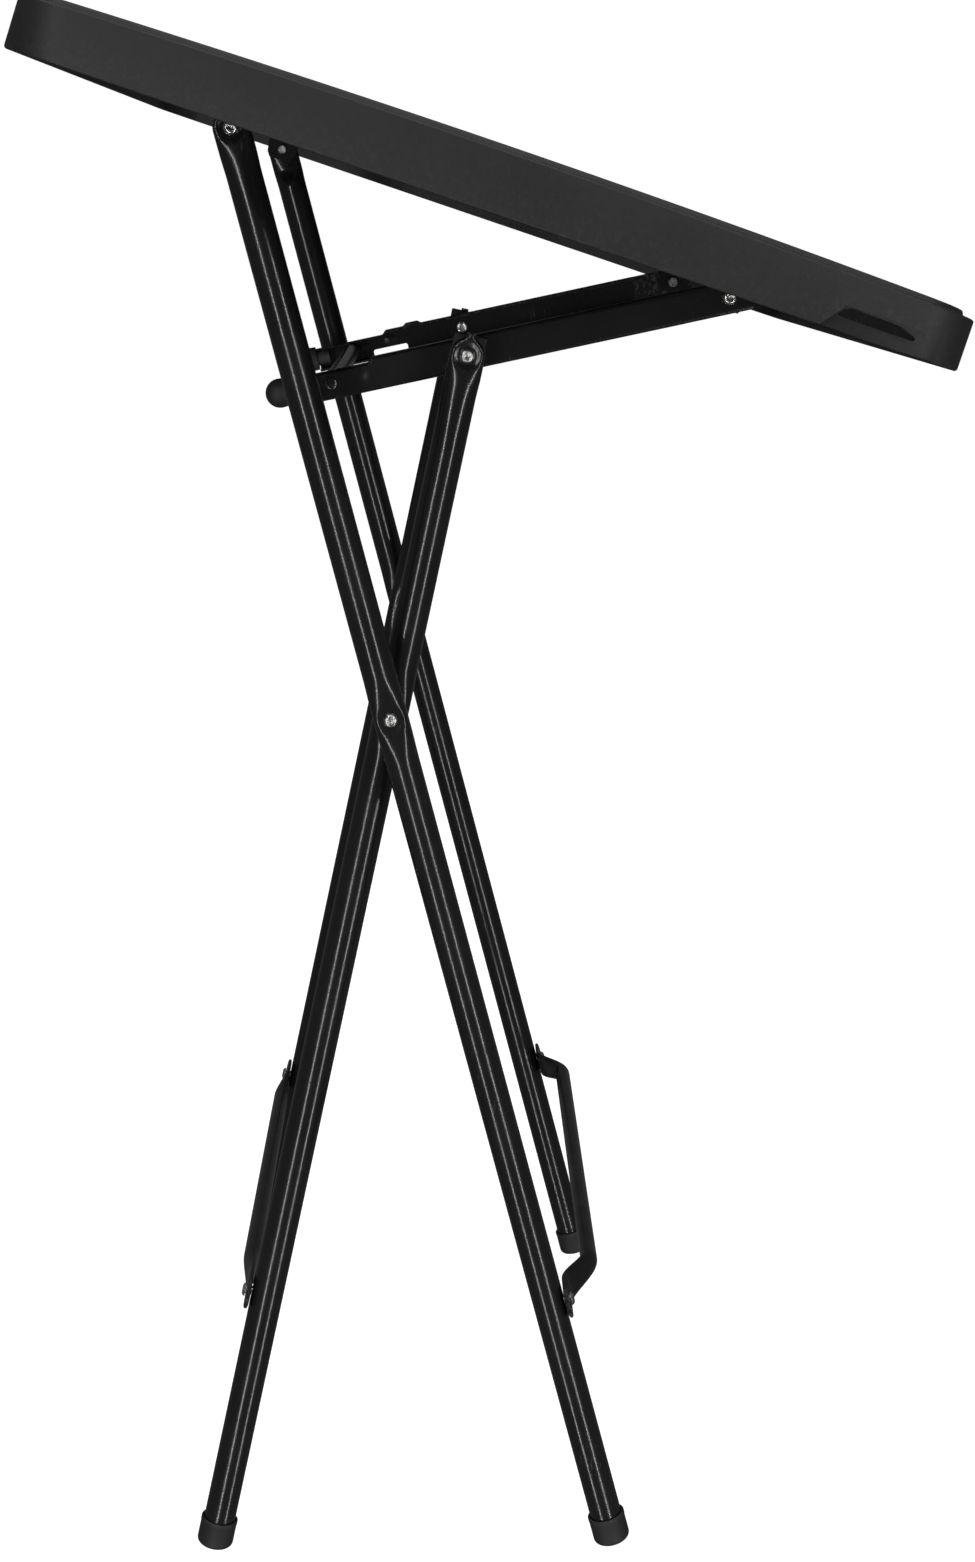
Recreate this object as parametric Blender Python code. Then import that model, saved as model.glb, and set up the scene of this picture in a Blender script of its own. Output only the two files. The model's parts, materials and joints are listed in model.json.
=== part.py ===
"""A personal folding table: a moulded top on two crossing pairs of tube legs, half folded.

Four bodies turn in the XZ plane and each is modelled in a frame of its own, an empty on its axis:
  outer legs  at the crossing pivot, +Z up the leg
  inner legs  at the crossing pivot, +Z up the leg
  table top   at the pivot on top of the outer legs, +X along the short side, +Z through the top
  rails       at their pivot under the top, +X from the inner legs' pivot to this one
Side -1 is the -Y side and side +1 the +Y side.
"""

import math

import bmesh
import bpy
from mathutils import Vector

# Driving dimensions, in metres and degrees.
TOP_SIDE = 0.468
TOP_LENGTH = 0.660
TOP_HEIGHT = 0.0275
TOP_PLATE = 0.005
TOP_CROWN = 0.0026
TOP_RIM = 0.0066
SKIRT_WALL = 0.0035
CORNER_RADIUS = 0.028
RIB_HEIGHT = 0.008
RIB_WALL = 0.003
LONG_RIB_SPREAD = 0.124
SHORT_RIB_SHARES = (0.27, 0.79)

TUBE_DIAMETER = 0.0183
TUBE_WALL = 0.0012
OUTER_SPACING = 0.400
LEG_STEP = 0.022
PRESSED_END = 0.008
PRESSED_CROSSING = 0.013
PRESSED_REACH = 0.0125
PRESSED_TAPER = 0.015
PRESSED_SPREAD = 0.12
END_OVERHANG = 0.0115
BLOCK_RISE = 0.0025

OUTER_UPPER = 0.314
INNER_UPPER = 0.194
CROSSING_HEIGHT = 0.495
OUTER_LEAN = 10.9
INNER_LEAN = 15.7
TOP_TILT = 21.7
PIVOT_SPAN = 0.272
PIVOT_INSET = 0.0995

RAIL_HEIGHT = 0.0175
RAIL_DEPTH = 0.012
RAIL_SHEET = 0.0016
RAIL_TAIL = 0.0972
RAIL_INSET = 0.016
SLOT_LENGTH = 0.023
SLOT_HEIGHT = 0.0044
SLOT_OFFSET = 0.049
SLOT_DROP = 0.0048
RAIL_CAP_RADIUS = 0.0078
RAIL_CAP_NECK = 0.008
CROSS_BAR_RADIUS = 0.0048
CROSS_BAR_SETBACK = 0.0232
CROSS_BAR_STEP = 0.7

BRACE_WIDTH = 0.0098
BRACE_DEPTH = 0.0132
BRACE_FLAT = 0.003
BRACE_FLAT_DEPTH = 0.018
BRACE_REACHES = {"outer": 0.026, "inner": 0.0125}
BRACE_DROP = 0.350
BRACE_BEND = 0.036
BRACE_TAB = 0.010
BRACE_RIVET_BITE = 0.006

CAP_WALL = 0.0011
CAP_HEIGHT = 0.017
CAP_FLOOR = 0.0035
CAP_EDGE = 0.0028

BRACKET_SHEET = 0.002
BRACKET_WIDTH = 0.0255
BRACKET_FLANGE = 0.026
BRACKET_DROP = 0.0068
BRACKET_CORNER = 0.003
SCREW_RADIUS = 0.0019
SCREW_HEAD_RADIUS = 0.0042
SCREW_BITE = 0.0034
SCREW_SPREAD = 0.0155
RIVET_RADIUS = 0.0025
RIVET_HEAD_RADIUS = 0.0040
RIVET_HEAD_HEIGHT = 0.0019
RIVET_TAIL = 0.0014
PIVOT_NUT_RADIUS = 0.0054
PIVOT_NUT_HEIGHT = 0.004
SPACER_RADIUS = 0.0068

HANDLE_END = 0.023
HANDLE_LENGTH = 0.051
HANDLE_HEIGHT = 0.0125
HANDLE_SLOPE = 0.0095
HANDLE_RECESS = 0.0028
HANDLE_BLOCK = 0.008
HANDLE_SLOT_HEIGHT = 0.0062
HANDLE_SLOT_INSET = 0.0006
HANDLE_MARGINS = (0.006, 0.001)

# Clearances.
GAP = 0.0003
RUNNING = 0.00025
CUTTER_EXTRA = 0.002

# Sizes that follow from the ones above.
TUBE_RADIUS = TUBE_DIAMETER / 2
OUTER_Y = OUTER_SPACING / 2
INNER_Y = OUTER_Y - LEG_STEP
RAIL_Y = INNER_Y - RAIL_INSET
CAP_RADIUS = TUBE_RADIUS + GAP + CAP_WALL
PLATE_UNDER = TOP_HEIGHT - TOP_PLATE
LOW_END = TOP_SIDE - PIVOT_INSET
HANDLE_START = LOW_END - HANDLE_END - HANDLE_LENGTH
SIDES = (-1, 1)
SIDE_NAMES = {-1: "near", 1: "far"}
SLOTTED_SIDE = 1
TUBE_SIDES = 16
SMALL_SIDES = 12


def plane_point(distance, degrees):
    """A point of the XZ plane, this far from the origin, turned from +Z towards +X."""
    turn = math.radians(degrees)
    return Vector((distance * math.sin(turn), 0, distance * math.cos(turn)))


CROSSING = Vector((0, 0, CROSSING_HEIGHT))
TOP_PIVOT = CROSSING + plane_point(OUTER_UPPER, -OUTER_LEAN)
LEG_PIVOT = CROSSING + plane_point(INNER_UPPER, INNER_LEAN)
RAIL_PIVOT = TOP_PIVOT + plane_point(PIVOT_SPAN, 90 + TOP_TILT)
RAIL_REACH = (RAIL_PIVOT - LEG_PIVOT).length
RAIL_RISE = math.degrees(math.asin((RAIL_PIVOT - LEG_PIVOT).z / RAIL_REACH))


def lower_length(lean):
    """From the crossing pivot to the flat under the foot cap, whose lowest edge is on the floor."""
    turn = math.radians(lean)
    return (CROSSING_HEIGHT - (CAP_RADIUS - CAP_EDGE) * math.sin(turn)) / math.cos(turn)


# Scene helpers.


def clear_scene():
    for obj in list(bpy.data.objects):
        bpy.data.objects.remove(obj, do_unlink=True)


def body_frame(name, location, turn_degrees):
    frame = bpy.data.objects.new(name, None)
    frame.location = location
    frame.rotation_euler = (0, math.radians(turn_degrees), 0)
    frame.empty_display_size = 0.05
    bpy.context.scene.collection.objects.link(frame)
    return frame


def material(name, colour, roughness, metallic):
    made = bpy.data.materials.new(name)
    made.use_nodes = True
    shader = made.node_tree.nodes["Principled BSDF"]
    shader.inputs["Base Color"].default_value = (*colour, 1)
    shader.inputs["Roughness"].default_value = roughness
    shader.inputs["Metallic"].default_value = metallic
    return made


def place(name, mesh, frame, look, location=(0, 0, 0), rotation=(0, 0, 0)):
    obj = bpy.data.objects.new(name, mesh)
    obj.parent = frame
    obj.location = location
    obj.rotation_euler = rotation
    if look:
        mesh.materials.append(look)
        mesh.shade_smooth()
        mesh.set_sharp_from_angle(angle=math.radians(35))
    bpy.context.scene.collection.objects.link(obj)
    return obj


def combine(target, helper, operation):
    """Cuts the helper from the target, or joins it on, and hides the helper."""
    helper.hide_render = True
    helper.display_type = "WIRE"
    modifier = target.modifiers.new(helper.name, "BOOLEAN")
    modifier.object = helper
    modifier.operation = operation
    modifier.solver = "EXACT"


def facing(side):
    """Turns a mesh made along +Z so that it points out of this side."""
    return (-side * math.pi / 2, 0, 0)


# Mesh helpers.


def finish_mesh(name, build):
    bmesh.ops.recalc_face_normals(build, faces=build.faces)
    mesh = bpy.data.meshes.new(name)
    build.to_mesh(mesh)
    build.free()
    return mesh


def loft(name, rings, hollow=False):
    """Skins rings of equal length: end to end with two caps, or right round when hollow."""
    build = bmesh.new()
    rows = [[build.verts.new(point) for point in ring] for ring in rings]
    pairs = list(zip(rows, rows[1:]))
    if hollow:
        pairs.append((rows[-1], rows[0]))
    for one, two in pairs:
        for i in range(len(one)):
            j = (i + 1) % len(one)
            build.faces.new((one[i], one[j], two[j], two[i]))
    if not hollow:
        build.faces.new(rows[0])
        build.faces.new(rows[-1])
    return finish_mesh(name, build)


def box_mesh(name, low, high):
    rings = []
    for z in (low[2], high[2]):
        rings.append(
            [
                Vector((low[0], low[1], z)),
                Vector((high[0], low[1], z)),
                Vector((high[0], high[1], z)),
                Vector((low[0], high[1], z)),
            ]
        )
    return loft(name, rings)


def circle(radius, height, sides):
    ring = []
    for i in range(sides):
        turn = 2 * math.pi * i / sides
        ring.append(Vector((radius * math.cos(turn), radius * math.sin(turn), height)))
    return ring


def turned(name, profile, sides=SMALL_SIDES, hollow=False):
    """A solid of revolution about Z, from (radius, height) pairs."""
    return loft(name, [circle(radius, height, sides) for radius, height in profile], hollow)


def prism(name, outline, low_y, high_y):
    """An XZ outline carried along Y."""
    rings = []
    for y in (low_y, high_y):
        rings.append([Vector((x, y, z)) for x, z in outline])
    return loft(name, rings)


def dome(radius, height, base, steps=3):
    """The profile of a rounded head that starts at this base height."""
    points = []
    for i in range(steps + 1):
        turn = math.pi / 2 * i / (steps + 1)
        points.append((radius * math.cos(turn), base + height * math.sin(turn)))
    points.append((radius * 0.12, base + height))
    return points


def drill(target, name, frame, radius, location, length, rotation):
    mesh = turned(name, [(radius, -length / 2), (radius, length / 2)])
    combine(target, place(name, mesh, frame, None, location, rotation), "DIFFERENCE")


# Tubes and legs.


def tube_ring(height, half_width, half_depth, flat):
    ring = []
    for i in range(TUBE_SIDES):
        turn = 2 * math.pi * i / TUBE_SIDES
        x, y = math.cos(turn), math.sin(turn)
        power = 1 - 0.45 * flat
        ring.append(
            Vector(
                (
                    half_width * math.copysign(abs(x) ** power, x),
                    half_depth * math.copysign(abs(y) ** power, y),
                    height,
                )
            )
        )
    return ring


def pressed_width(thickness):
    """Half the width of a tube pressed to this thickness, its girth unchanged."""
    girth = math.pi * TUBE_DIAMETER
    free = (girth - math.pi * thickness) / 4 + thickness / 2
    return TUBE_RADIUS + PRESSED_SPREAD * (free - TUBE_RADIUS)


def leg_stations(foot, pivot):
    """(height, thickness, how flat) along a leg whose crossing pivot is at 0."""
    full = TUBE_DIAMETER
    return [
        (-foot, full, 0),
        (-PRESSED_REACH - PRESSED_TAPER, full, 0),
        (-PRESSED_REACH, PRESSED_CROSSING, 0.6),
        (PRESSED_REACH, PRESSED_CROSSING, 0.6),
        (PRESSED_REACH + PRESSED_TAPER, full, 0),
        (pivot - PRESSED_REACH - PRESSED_TAPER, full, 0),
        (pivot - PRESSED_REACH, PRESSED_END, 1),
        (pivot + 0.45 * END_OVERHANG, PRESSED_END, 1),
    ]


def leg_mesh(name, foot, pivot):
    outer = []
    inner = []
    for height, thickness, flat in leg_stations(foot, pivot):
        width = pressed_width(thickness)
        outer.append(tube_ring(height, width, thickness / 2, flat))
        inner.append(tube_ring(height, width - TUBE_WALL, thickness / 2 - TUBE_WALL, flat))
    width = pressed_width(PRESSED_END)
    end = pivot + END_OVERHANG
    half = PRESSED_END / 2
    outer.append(tube_ring(end, width * 0.62, half, 1))
    inner.append(tube_ring(end, width * 0.62 - TUBE_WALL, half - TUBE_WALL, 1))
    return loft(name, outer + inner[::-1], hollow=True)


def leg(kind, side, frame, y, lower, upper, look):
    name = f"{kind}_leg_{SIDE_NAMES[side]}"
    foot = lower - CAP_FLOOR - GAP
    tube = place(name, leg_mesh(name, foot, upper), frame, look, (0, side * y, 0))
    for label, height in (("crossing", 0), ("end", upper)):
        drill(
            tube,
            f"{name}_{label}_hole",
            frame,
            RIVET_RADIUS + RUNNING,
            (0, side * y, height),
            TUBE_DIAMETER + 2 * CUTTER_EXTRA,
            facing(side),
        )
    return tube


def foot_cap(kind, side, frame, y, lower, look):
    name = f"{kind}_foot_cap_{SIDE_NAMES[side]}"
    bore = TUBE_RADIUS + GAP
    profile = [
        (CAP_RADIUS - CAP_EDGE, 0),
        (CAP_RADIUS - 0.3 * CAP_EDGE, 0.35 * CAP_EDGE),
        (CAP_RADIUS, CAP_EDGE),
        (CAP_RADIUS, CAP_HEIGHT),
        (bore, CAP_HEIGHT),
        (bore, CAP_FLOOR),
    ]
    mesh = turned(name, profile, TUBE_SIDES)
    place(name, mesh, frame, look, (0, side * y, -lower))


def brace_path(y, face, reach):
    """(y, offset, how flat) along the brace, from the tab on one leg to the tab on the other."""
    tab = y - BRACE_TAB
    path = [(y + TUBE_RADIUS * 0.9, face, 1), (tab, face, 1)]
    steps = 8
    for i in range(1, steps + 1):
        share = i / steps
        ease = share * share * (3 - 2 * share)
        path.append((tab - BRACE_BEND * share, face + (reach - face) * ease, 1 - ease))
    return path + [(-at, offset, flat) for at, offset, flat in reversed(path)]


def brace(kind, frame, y, direction, look):
    """A tube with flattened ends bent out between two legs, on the side away from the other pair."""
    name = f"{kind}_brace"
    path = brace_path(y, TUBE_RADIUS + GAP + BRACE_FLAT / 2, BRACE_REACHES[kind])
    rings = []
    for i, (at, offset, flat) in enumerate(path):
        before, after = path[max(i - 1, 0)], path[min(i + 1, len(path) - 1)]
        along = Vector((after[1] - before[1], after[0] - before[0])).normalized()
        half_width = (BRACE_WIDTH + (BRACE_FLAT - BRACE_WIDTH) * flat) / 2
        half_depth = (BRACE_DEPTH + (BRACE_FLAT_DEPTH - BRACE_DEPTH) * flat) / 2
        ring = []
        for point in tube_ring(0, half_width, half_depth, flat):
            x = direction * (offset - along.y * point.x)
            ring.append(Vector((x, at + along.x * point.x, -BRACE_DROP + point.y)))
        rings.append(ring)
    return place(name, loft(name, rings), frame, look)


def brace_rivet(kind, side, frame, y, direction, strap, tube, look):
    """Holds the brace's flat end to the leg, its head on the brace."""
    name = f"{kind}_brace_rivet_{SIDE_NAMES[side]}"
    face = TUBE_RADIUS + GAP + BRACE_FLAT + GAP
    rotation = (0, direction * math.pi / 2, 0)
    profile = [(RIVET_RADIUS, -BRACE_RIVET_BITE), (RIVET_RADIUS, 0)]
    profile += dome(RIVET_HEAD_RADIUS, RIVET_HEAD_HEIGHT, 0)
    location = (direction * face, side * y, -BRACE_DROP)
    place(name, turned(name, profile), frame, look, location, rotation)
    for target in (strap, tube):
        hole = f"{name}_hole_{target.name}"
        drill(target, hole, frame, RIVET_RADIUS + RUNNING, location, TUBE_RADIUS * 2, rotation)


def leg_pair(kind, frame, y, lower, upper, direction, looks):
    tubes = {}
    for side in SIDES:
        tubes[side] = leg(kind, side, frame, y, lower, upper, looks["steel"])
        foot_cap(kind, side, frame, y, lower, looks["cap"])
    strap = brace(kind, frame, y, direction, looks["steel"])
    for side in SIDES:
        brace_rivet(kind, side, frame, y, direction, strap, tubes[side], looks["rivet"])


# Pivots. Heights are measured out along the axis from the named plane.


def crossing_pivot(side, frame, looks):
    """Bolt through both legs, with a spacer between them and a nut inside."""
    label = SIDE_NAMES[side]
    half = PRESSED_CROSSING / 2
    head = OUTER_Y + half + GAP
    nut = INNER_Y - half - GAP - PIVOT_NUT_HEIGHT
    profile = [(RIVET_RADIUS, nut - RIVET_TAIL), (RIVET_RADIUS, head)]
    profile += dome(RIVET_HEAD_RADIUS * 1.08, RIVET_HEAD_HEIGHT, head)
    name = f"crossing_bolt_{label}"
    place(name, turned(name, profile), frame, looks["rivet"], rotation=facing(side))
    pieces = (
        ("crossing_spacer", INNER_Y + half + GAP, OUTER_Y - half - GAP, SPACER_RADIUS, "cap", 16),
        ("crossing_nut", nut, nut + PIVOT_NUT_HEIGHT, PIVOT_NUT_RADIUS, "rivet", 6),
    )
    for kind, low, high, radius, look, sides in pieces:
        name = f"{kind}_{label}"
        bore = (RIVET_RADIUS + RUNNING) / math.cos(math.pi / sides)
        ring = [(radius, low), (radius, high), (bore, high), (bore, low)]
        mesh = turned(name, ring, sides, hollow=True)
        place(name, mesh, frame, looks[look], rotation=facing(side))


def top_pivot_rivet(side, frame, looks):
    """Holds the pressed end of an outer leg to the bracket behind it."""
    name = f"top_rivet_{SIDE_NAMES[side]}"
    head = OUTER_Y + PRESSED_END / 2 + GAP
    tail = OUTER_Y - PRESSED_END / 2 - BRACKET_SHEET - 2 * GAP
    profile = [(RIVET_HEAD_RADIUS * 0.8, tail - RIVET_TAIL), (RIVET_HEAD_RADIUS * 0.8, tail)]
    profile += [(RIVET_RADIUS, tail), (RIVET_RADIUS, head)]
    profile += dome(RIVET_HEAD_RADIUS, RIVET_HEAD_HEIGHT, head)
    place(name, turned(name, profile), frame, looks["rivet"], rotation=facing(side))


def leg_end_block(side, frame, look):
    """A square-ended block that fills the space between an inner leg's end and its rail."""
    name = f"leg_end_block_{SIDE_NAMES[side]}"
    low, high = sorted((side * (RAIL_Y + GAP), side * (INNER_Y - PRESSED_END / 2 - GAP)))
    half = TUBE_RADIUS * 0.95
    mesh = box_mesh(name, (-half, low, -PRESSED_REACH), (half, high, END_OVERHANG + BLOCK_RISE))
    block = place(name, mesh, frame, look, (0, 0, INNER_UPPER))
    middle = (0, (low + high) / 2, INNER_UPPER)
    length = high - low + 2 * CUTTER_EXTRA
    drill(block, f"{name}_hole", frame, RIVET_RADIUS + RUNNING, middle, length, facing(side))


def leg_pivot_rivet(side, frame, looks):
    """Head on the inner leg's outer face, shank through the leg and its end block."""
    name = f"leg_rivet_{SIDE_NAMES[side]}"
    head = INNER_Y + PRESSED_END / 2 + GAP
    profile = [(RIVET_RADIUS, RAIL_Y + GAP), (RIVET_RADIUS, head)]
    profile += dome(RIVET_HEAD_RADIUS, RIVET_HEAD_HEIGHT, head)
    location = (0, 0, INNER_UPPER)
    place(name, turned(name, profile), frame, looks["rivet"], location, facing(side))


# Rails.


def rail_outline(side):
    """The channel's section: a web on the outer side and two flanges turned inwards."""
    half = RAIL_HEIGHT / 2
    bend = RAIL_SHEET
    depth = RAIL_DEPTH
    web = [(0, -half + bend), (0, half - bend), (bend * 0.3, half - bend * 0.3), (bend, half)]
    lip = [(depth, half), (depth, half - RAIL_SHEET), (RAIL_SHEET, half - RAIL_SHEET)]
    outline = web + lip
    outline += [(d, -z) for d, z in reversed(lip)] + [(d, -z) for d, z in reversed(web[2:])]
    return [(side * (RAIL_Y - d), z) for d, z in outline]


def rail(side, frame, looks):
    label = SIDE_NAMES[side]
    name = f"rail_{label}"
    rings = []
    for x in (-RAIL_REACH - RAIL_TAIL, END_OVERHANG):
        rings.append([Vector((x, y, z)) for y, z in rail_outline(side)])
    channel = place(name, loft(name, rings), frame, looks["steel"])
    middle = side * RAIL_Y
    trim_from = RAIL_SHEET * 0.9
    inner_y = sorted((side * (RAIL_Y - trim_from), side * (RAIL_Y - RAIL_DEPTH - CUTTER_EXTRA)))
    trim = box_mesh(
        f"{name}_trim",
        (-BRACKET_WIDTH, inner_y[0], -RAIL_HEIGHT),
        (END_OVERHANG + CUTTER_EXTRA, inner_y[1], RAIL_HEIGHT),
    )
    combine(channel, place(f"{name}_trim", trim, frame, None), "DIFFERENCE")
    if side == SLOTTED_SIDE:
        slot_x = -RAIL_REACH - SLOT_OFFSET
        half, tall = SLOT_LENGTH / 2, SLOT_HEIGHT / 2
        slot = box_mesh(
            f"{name}_slot",
            (slot_x - half, middle - 2 * CUTTER_EXTRA, -SLOT_DROP - tall),
            (slot_x + half, middle + 2 * CUTTER_EXTRA, -SLOT_DROP + tall),
        )
        combine(channel, place(f"{name}_slot", slot, frame, None), "DIFFERENCE")
    for kind, x in (("top", 0), ("leg", -RAIL_REACH), ("bar", bar_x())):
        radius = CROSS_BAR_RADIUS * CROSS_BAR_STEP if kind == "bar" else RIVET_RADIUS
        hole = f"{name}_{kind}_hole"
        place_at = (x, middle, 0)
        drill(channel, hole, frame, radius + RUNNING, place_at, 4 * CUTTER_EXTRA, facing(side))
    return channel


def bar_x():
    return -RAIL_REACH - RAIL_TAIL + CROSS_BAR_SETBACK


def rail_cap(side, frame, look):
    """A round plug on the open end of a rail, its neck inside the channel."""
    label = SIDE_NAMES[side]
    name = f"rail_cap_{label}"
    neck = RAIL_DEPTH / 2 - RAIL_SHEET / 2 - GAP
    radius = RAIL_CAP_RADIUS
    face = radius * 0.6
    profile = [(radius * 0.30, -radius * 0.97), (radius * 0.72, -radius * 0.72)]
    profile += [(radius * 0.97, -radius * 0.28), (radius, radius * 0.2), (radius * 0.9, face)]
    profile += [(neck, face), (neck, face + RAIL_CAP_NECK)]
    mesh = turned(name, profile)
    x = -RAIL_REACH - RAIL_TAIL - face - GAP
    y = side * (RAIL_Y - RAIL_SHEET - GAP - (RAIL_DEPTH - RAIL_SHEET) / 2)
    place(name, mesh, frame, look, (x, y, 0), (0, math.pi / 2, 0))


def cross_bar(frame, looks):
    """A rod between the rails, each end stepped down into the hole in a web."""
    face = RAIL_Y - RAIL_SHEET - GAP
    tip = RAIL_Y + RIVET_TAIL
    thin = CROSS_BAR_RADIUS * CROSS_BAR_STEP
    thick = CROSS_BAR_RADIUS
    profile = [(thin, -tip), (thin, -face), (thick, -face), (thick, face), (thin, face), (thin, tip)]
    mesh = turned("cross_bar", profile)
    place("cross_bar", mesh, frame, looks["steel"], (bar_x(), 0, 0), facing(1))


def rail_stud(side, frame, looks):
    """The rivet's tail in the rail's own web, where the inner leg's pivot meets it."""
    name = f"rail_stud_{SIDE_NAMES[side]}"
    inner = RAIL_Y - RAIL_SHEET - GAP
    head = RIVET_HEAD_RADIUS * 0.9
    profile = [(head * 0.75, inner - 0.0016), (head, inner - 0.0008), (head, inner)]
    profile += [(RIVET_RADIUS, inner), (RIVET_RADIUS, RAIL_Y - GAP)]
    mesh = turned(name, profile)
    place(name, mesh, frame, looks["rivet"], (-RAIL_REACH, 0, 0), facing(side))


def rail_pivot_rivet(side, frame, looks):
    """Holds a rail to its bracket, head on the rail's outer face."""
    name = f"rail_rivet_{SIDE_NAMES[side]}"
    head = RAIL_Y + GAP
    tail = RAIL_Y - RAIL_SHEET - BRACKET_SHEET - 3 * GAP
    profile = [(RIVET_HEAD_RADIUS * 0.8, tail - RIVET_TAIL), (RIVET_HEAD_RADIUS * 0.8, tail)]
    profile += [(RIVET_RADIUS, tail), (RIVET_RADIUS, head)]
    profile += dome(RIVET_HEAD_RADIUS, RIVET_HEAD_HEIGHT, head)
    place(name, turned(name, profile), frame, looks["rivet"], rotation=facing(side))


# Brackets under the top.


def bracket(kind, side, frame, x, outer_face, looks, top):
    """A bent sheet: a tongue beside the pivot and a flange screwed up into the top."""
    label = SIDE_NAMES[side]
    name = f"{kind}_bracket_{label}"
    half = BRACKET_WIDTH / 2
    under = PLATE_UNDER - GAP
    drop, corner = BRACKET_DROP, BRACKET_CORNER
    tongue = [(-half, under), (-half, corner - drop), (corner - half, -drop)]
    tongue += [(-at, z) for at, z in reversed(tongue)]
    low, high = sorted((side * outer_face, side * (outer_face - BRACKET_SHEET)))
    mesh = prism(name, [(x + at, z) for at, z in tongue], low, high)
    plate = place(name, mesh, frame, looks["steel"])
    reach = sorted((side * (outer_face - BRACKET_FLANGE), side * (outer_face - 0.0005)))
    flange = box_mesh(
        f"{name}_flange",
        (x - half + 0.0004, reach[0], under - BRACKET_SHEET),
        (x + half - 0.0004, reach[1], under - 0.0001),
    )
    combine(plate, place(f"{name}_flange", flange, frame, None), "UNION")
    pivot = (x, side * outer_face, 0)
    drill(plate, f"{name}_hole", frame, RIVET_RADIUS + RUNNING, pivot, 4 * CUTTER_EXTRA, facing(side))
    screw_y = side * (outer_face - BRACKET_SHEET - (BRACKET_FLANGE - BRACKET_SHEET) / 2)
    for number, offset in enumerate((-SCREW_SPREAD / 2, SCREW_SPREAD / 2), 1):
        screw(f"{kind}_screw_{label}_{number}", frame, (x + offset, screw_y), plate, top, looks)


def screw(name, frame, at, plate, top, looks):
    """A pan-head screw through a flange, its shank biting into the top."""
    under = PLATE_UNDER - GAP - BRACKET_SHEET - GAP
    profile = [(SCREW_HEAD_RADIUS * 0.55, -0.0022), (SCREW_HEAD_RADIUS * 0.9, -0.0016)]
    profile += [(SCREW_HEAD_RADIUS, 0), (SCREW_RADIUS, 0)]
    profile += [(SCREW_RADIUS, BRACKET_SHEET + 2 * GAP + SCREW_BITE)]
    place(name, turned(name, profile, 10), frame, looks["rivet"], (*at, under))
    length = 2 * (BRACKET_SHEET + 2 * GAP + SCREW_BITE + GAP)
    for target in (plate, top):
        hole = f"{name}_hole_{target.name}"
        drill(target, hole, frame, SCREW_RADIUS + RUNNING, (*at, under), length, (0, 0, 0))


# The top.


def plan_ring(inset, height):
    """The top's rounded outline, this far in from its widest line."""
    ring = []
    radius = CORNER_RADIUS - inset
    left = -PIVOT_INSET + CORNER_RADIUS
    right = LOW_END - CORNER_RADIUS
    reach = TOP_LENGTH / 2 - CORNER_RADIUS
    corners = ((right, -reach, -90), (right, reach, 0), (left, reach, 90), (left, -reach, 180))
    for x, y, start in corners:
        for i in range(7):
            turn = math.radians(start + 15 * i)
            ring.append(Vector((x + radius * math.cos(turn), y + radius * math.sin(turn), height)))
    return ring


def top_shell(frame, look):
    shoulder = TOP_HEIGHT - TOP_CROWN
    stations = [
        (SKIRT_WALL, PLATE_UNDER, 0.0007),
        (SKIRT_WALL, 0.0006, 0),
        (SKIRT_WALL * 0.75, 0, 0),
        (SKIRT_WALL * 0.35, 0, 0),
        (0, 0.0012, 0),
        (0.0005, shoulder - 0.0022, 0),
        (0.0012, shoulder - 0.0006, 0),
        (0.0026, shoulder, 0),
        (TOP_RIM, shoulder, 0),
        (TOP_RIM + 0.0016, TOP_HEIGHT, 0),
    ]
    rings = [plan_ring(inset + extra, height) for inset, height, extra in stations]
    return place("table_top", loft("table_top", rings), frame, look)


def add_ribs(top, frame):
    """Two long ribs and four short ones under the plate."""
    low = PLATE_UNDER - RIB_HEIGHT
    high = PLATE_UNDER + 0.0015
    ends = TOP_LENGTH / 2 - SKIRT_WALL * 0.6
    left = -PIVOT_INSET + SKIRT_WALL * 0.6
    right = LOW_END - SKIRT_WALL * 0.6
    half = RIB_WALL / 2
    middle = PIVOT_SPAN / 2
    for number, x in enumerate((middle - LONG_RIB_SPREAD / 2, middle + LONG_RIB_SPREAD / 2), 1):
        name = f"long_rib_{number}"
        mesh = box_mesh(name, (x - half, -ends, low), (x + half, ends, high))
        combine(top, place(name, mesh, frame, None), "UNION")
    spots = [side * share * TOP_LENGTH / 2 for share in SHORT_RIB_SHARES for side in SIDES]
    for number, y in enumerate(spots, 1):
        name = f"short_rib_{number}"
        mesh = box_mesh(name, (left, y - half, low + 0.0005), (right, y + half, high - 0.0004))
        combine(top, place(name, mesh, frame, None), "UNION")


def handle_outline():
    start, stop = HANDLE_START, HANDLE_START + HANDLE_LENGTH
    foot = [(start, -CUTTER_EXTRA), (stop, -CUTTER_EXTRA)]
    return foot + [(stop - HANDLE_SLOPE * 0.8, HANDLE_HEIGHT), (start + HANDLE_SLOPE, HANDLE_HEIGHT)]


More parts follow.
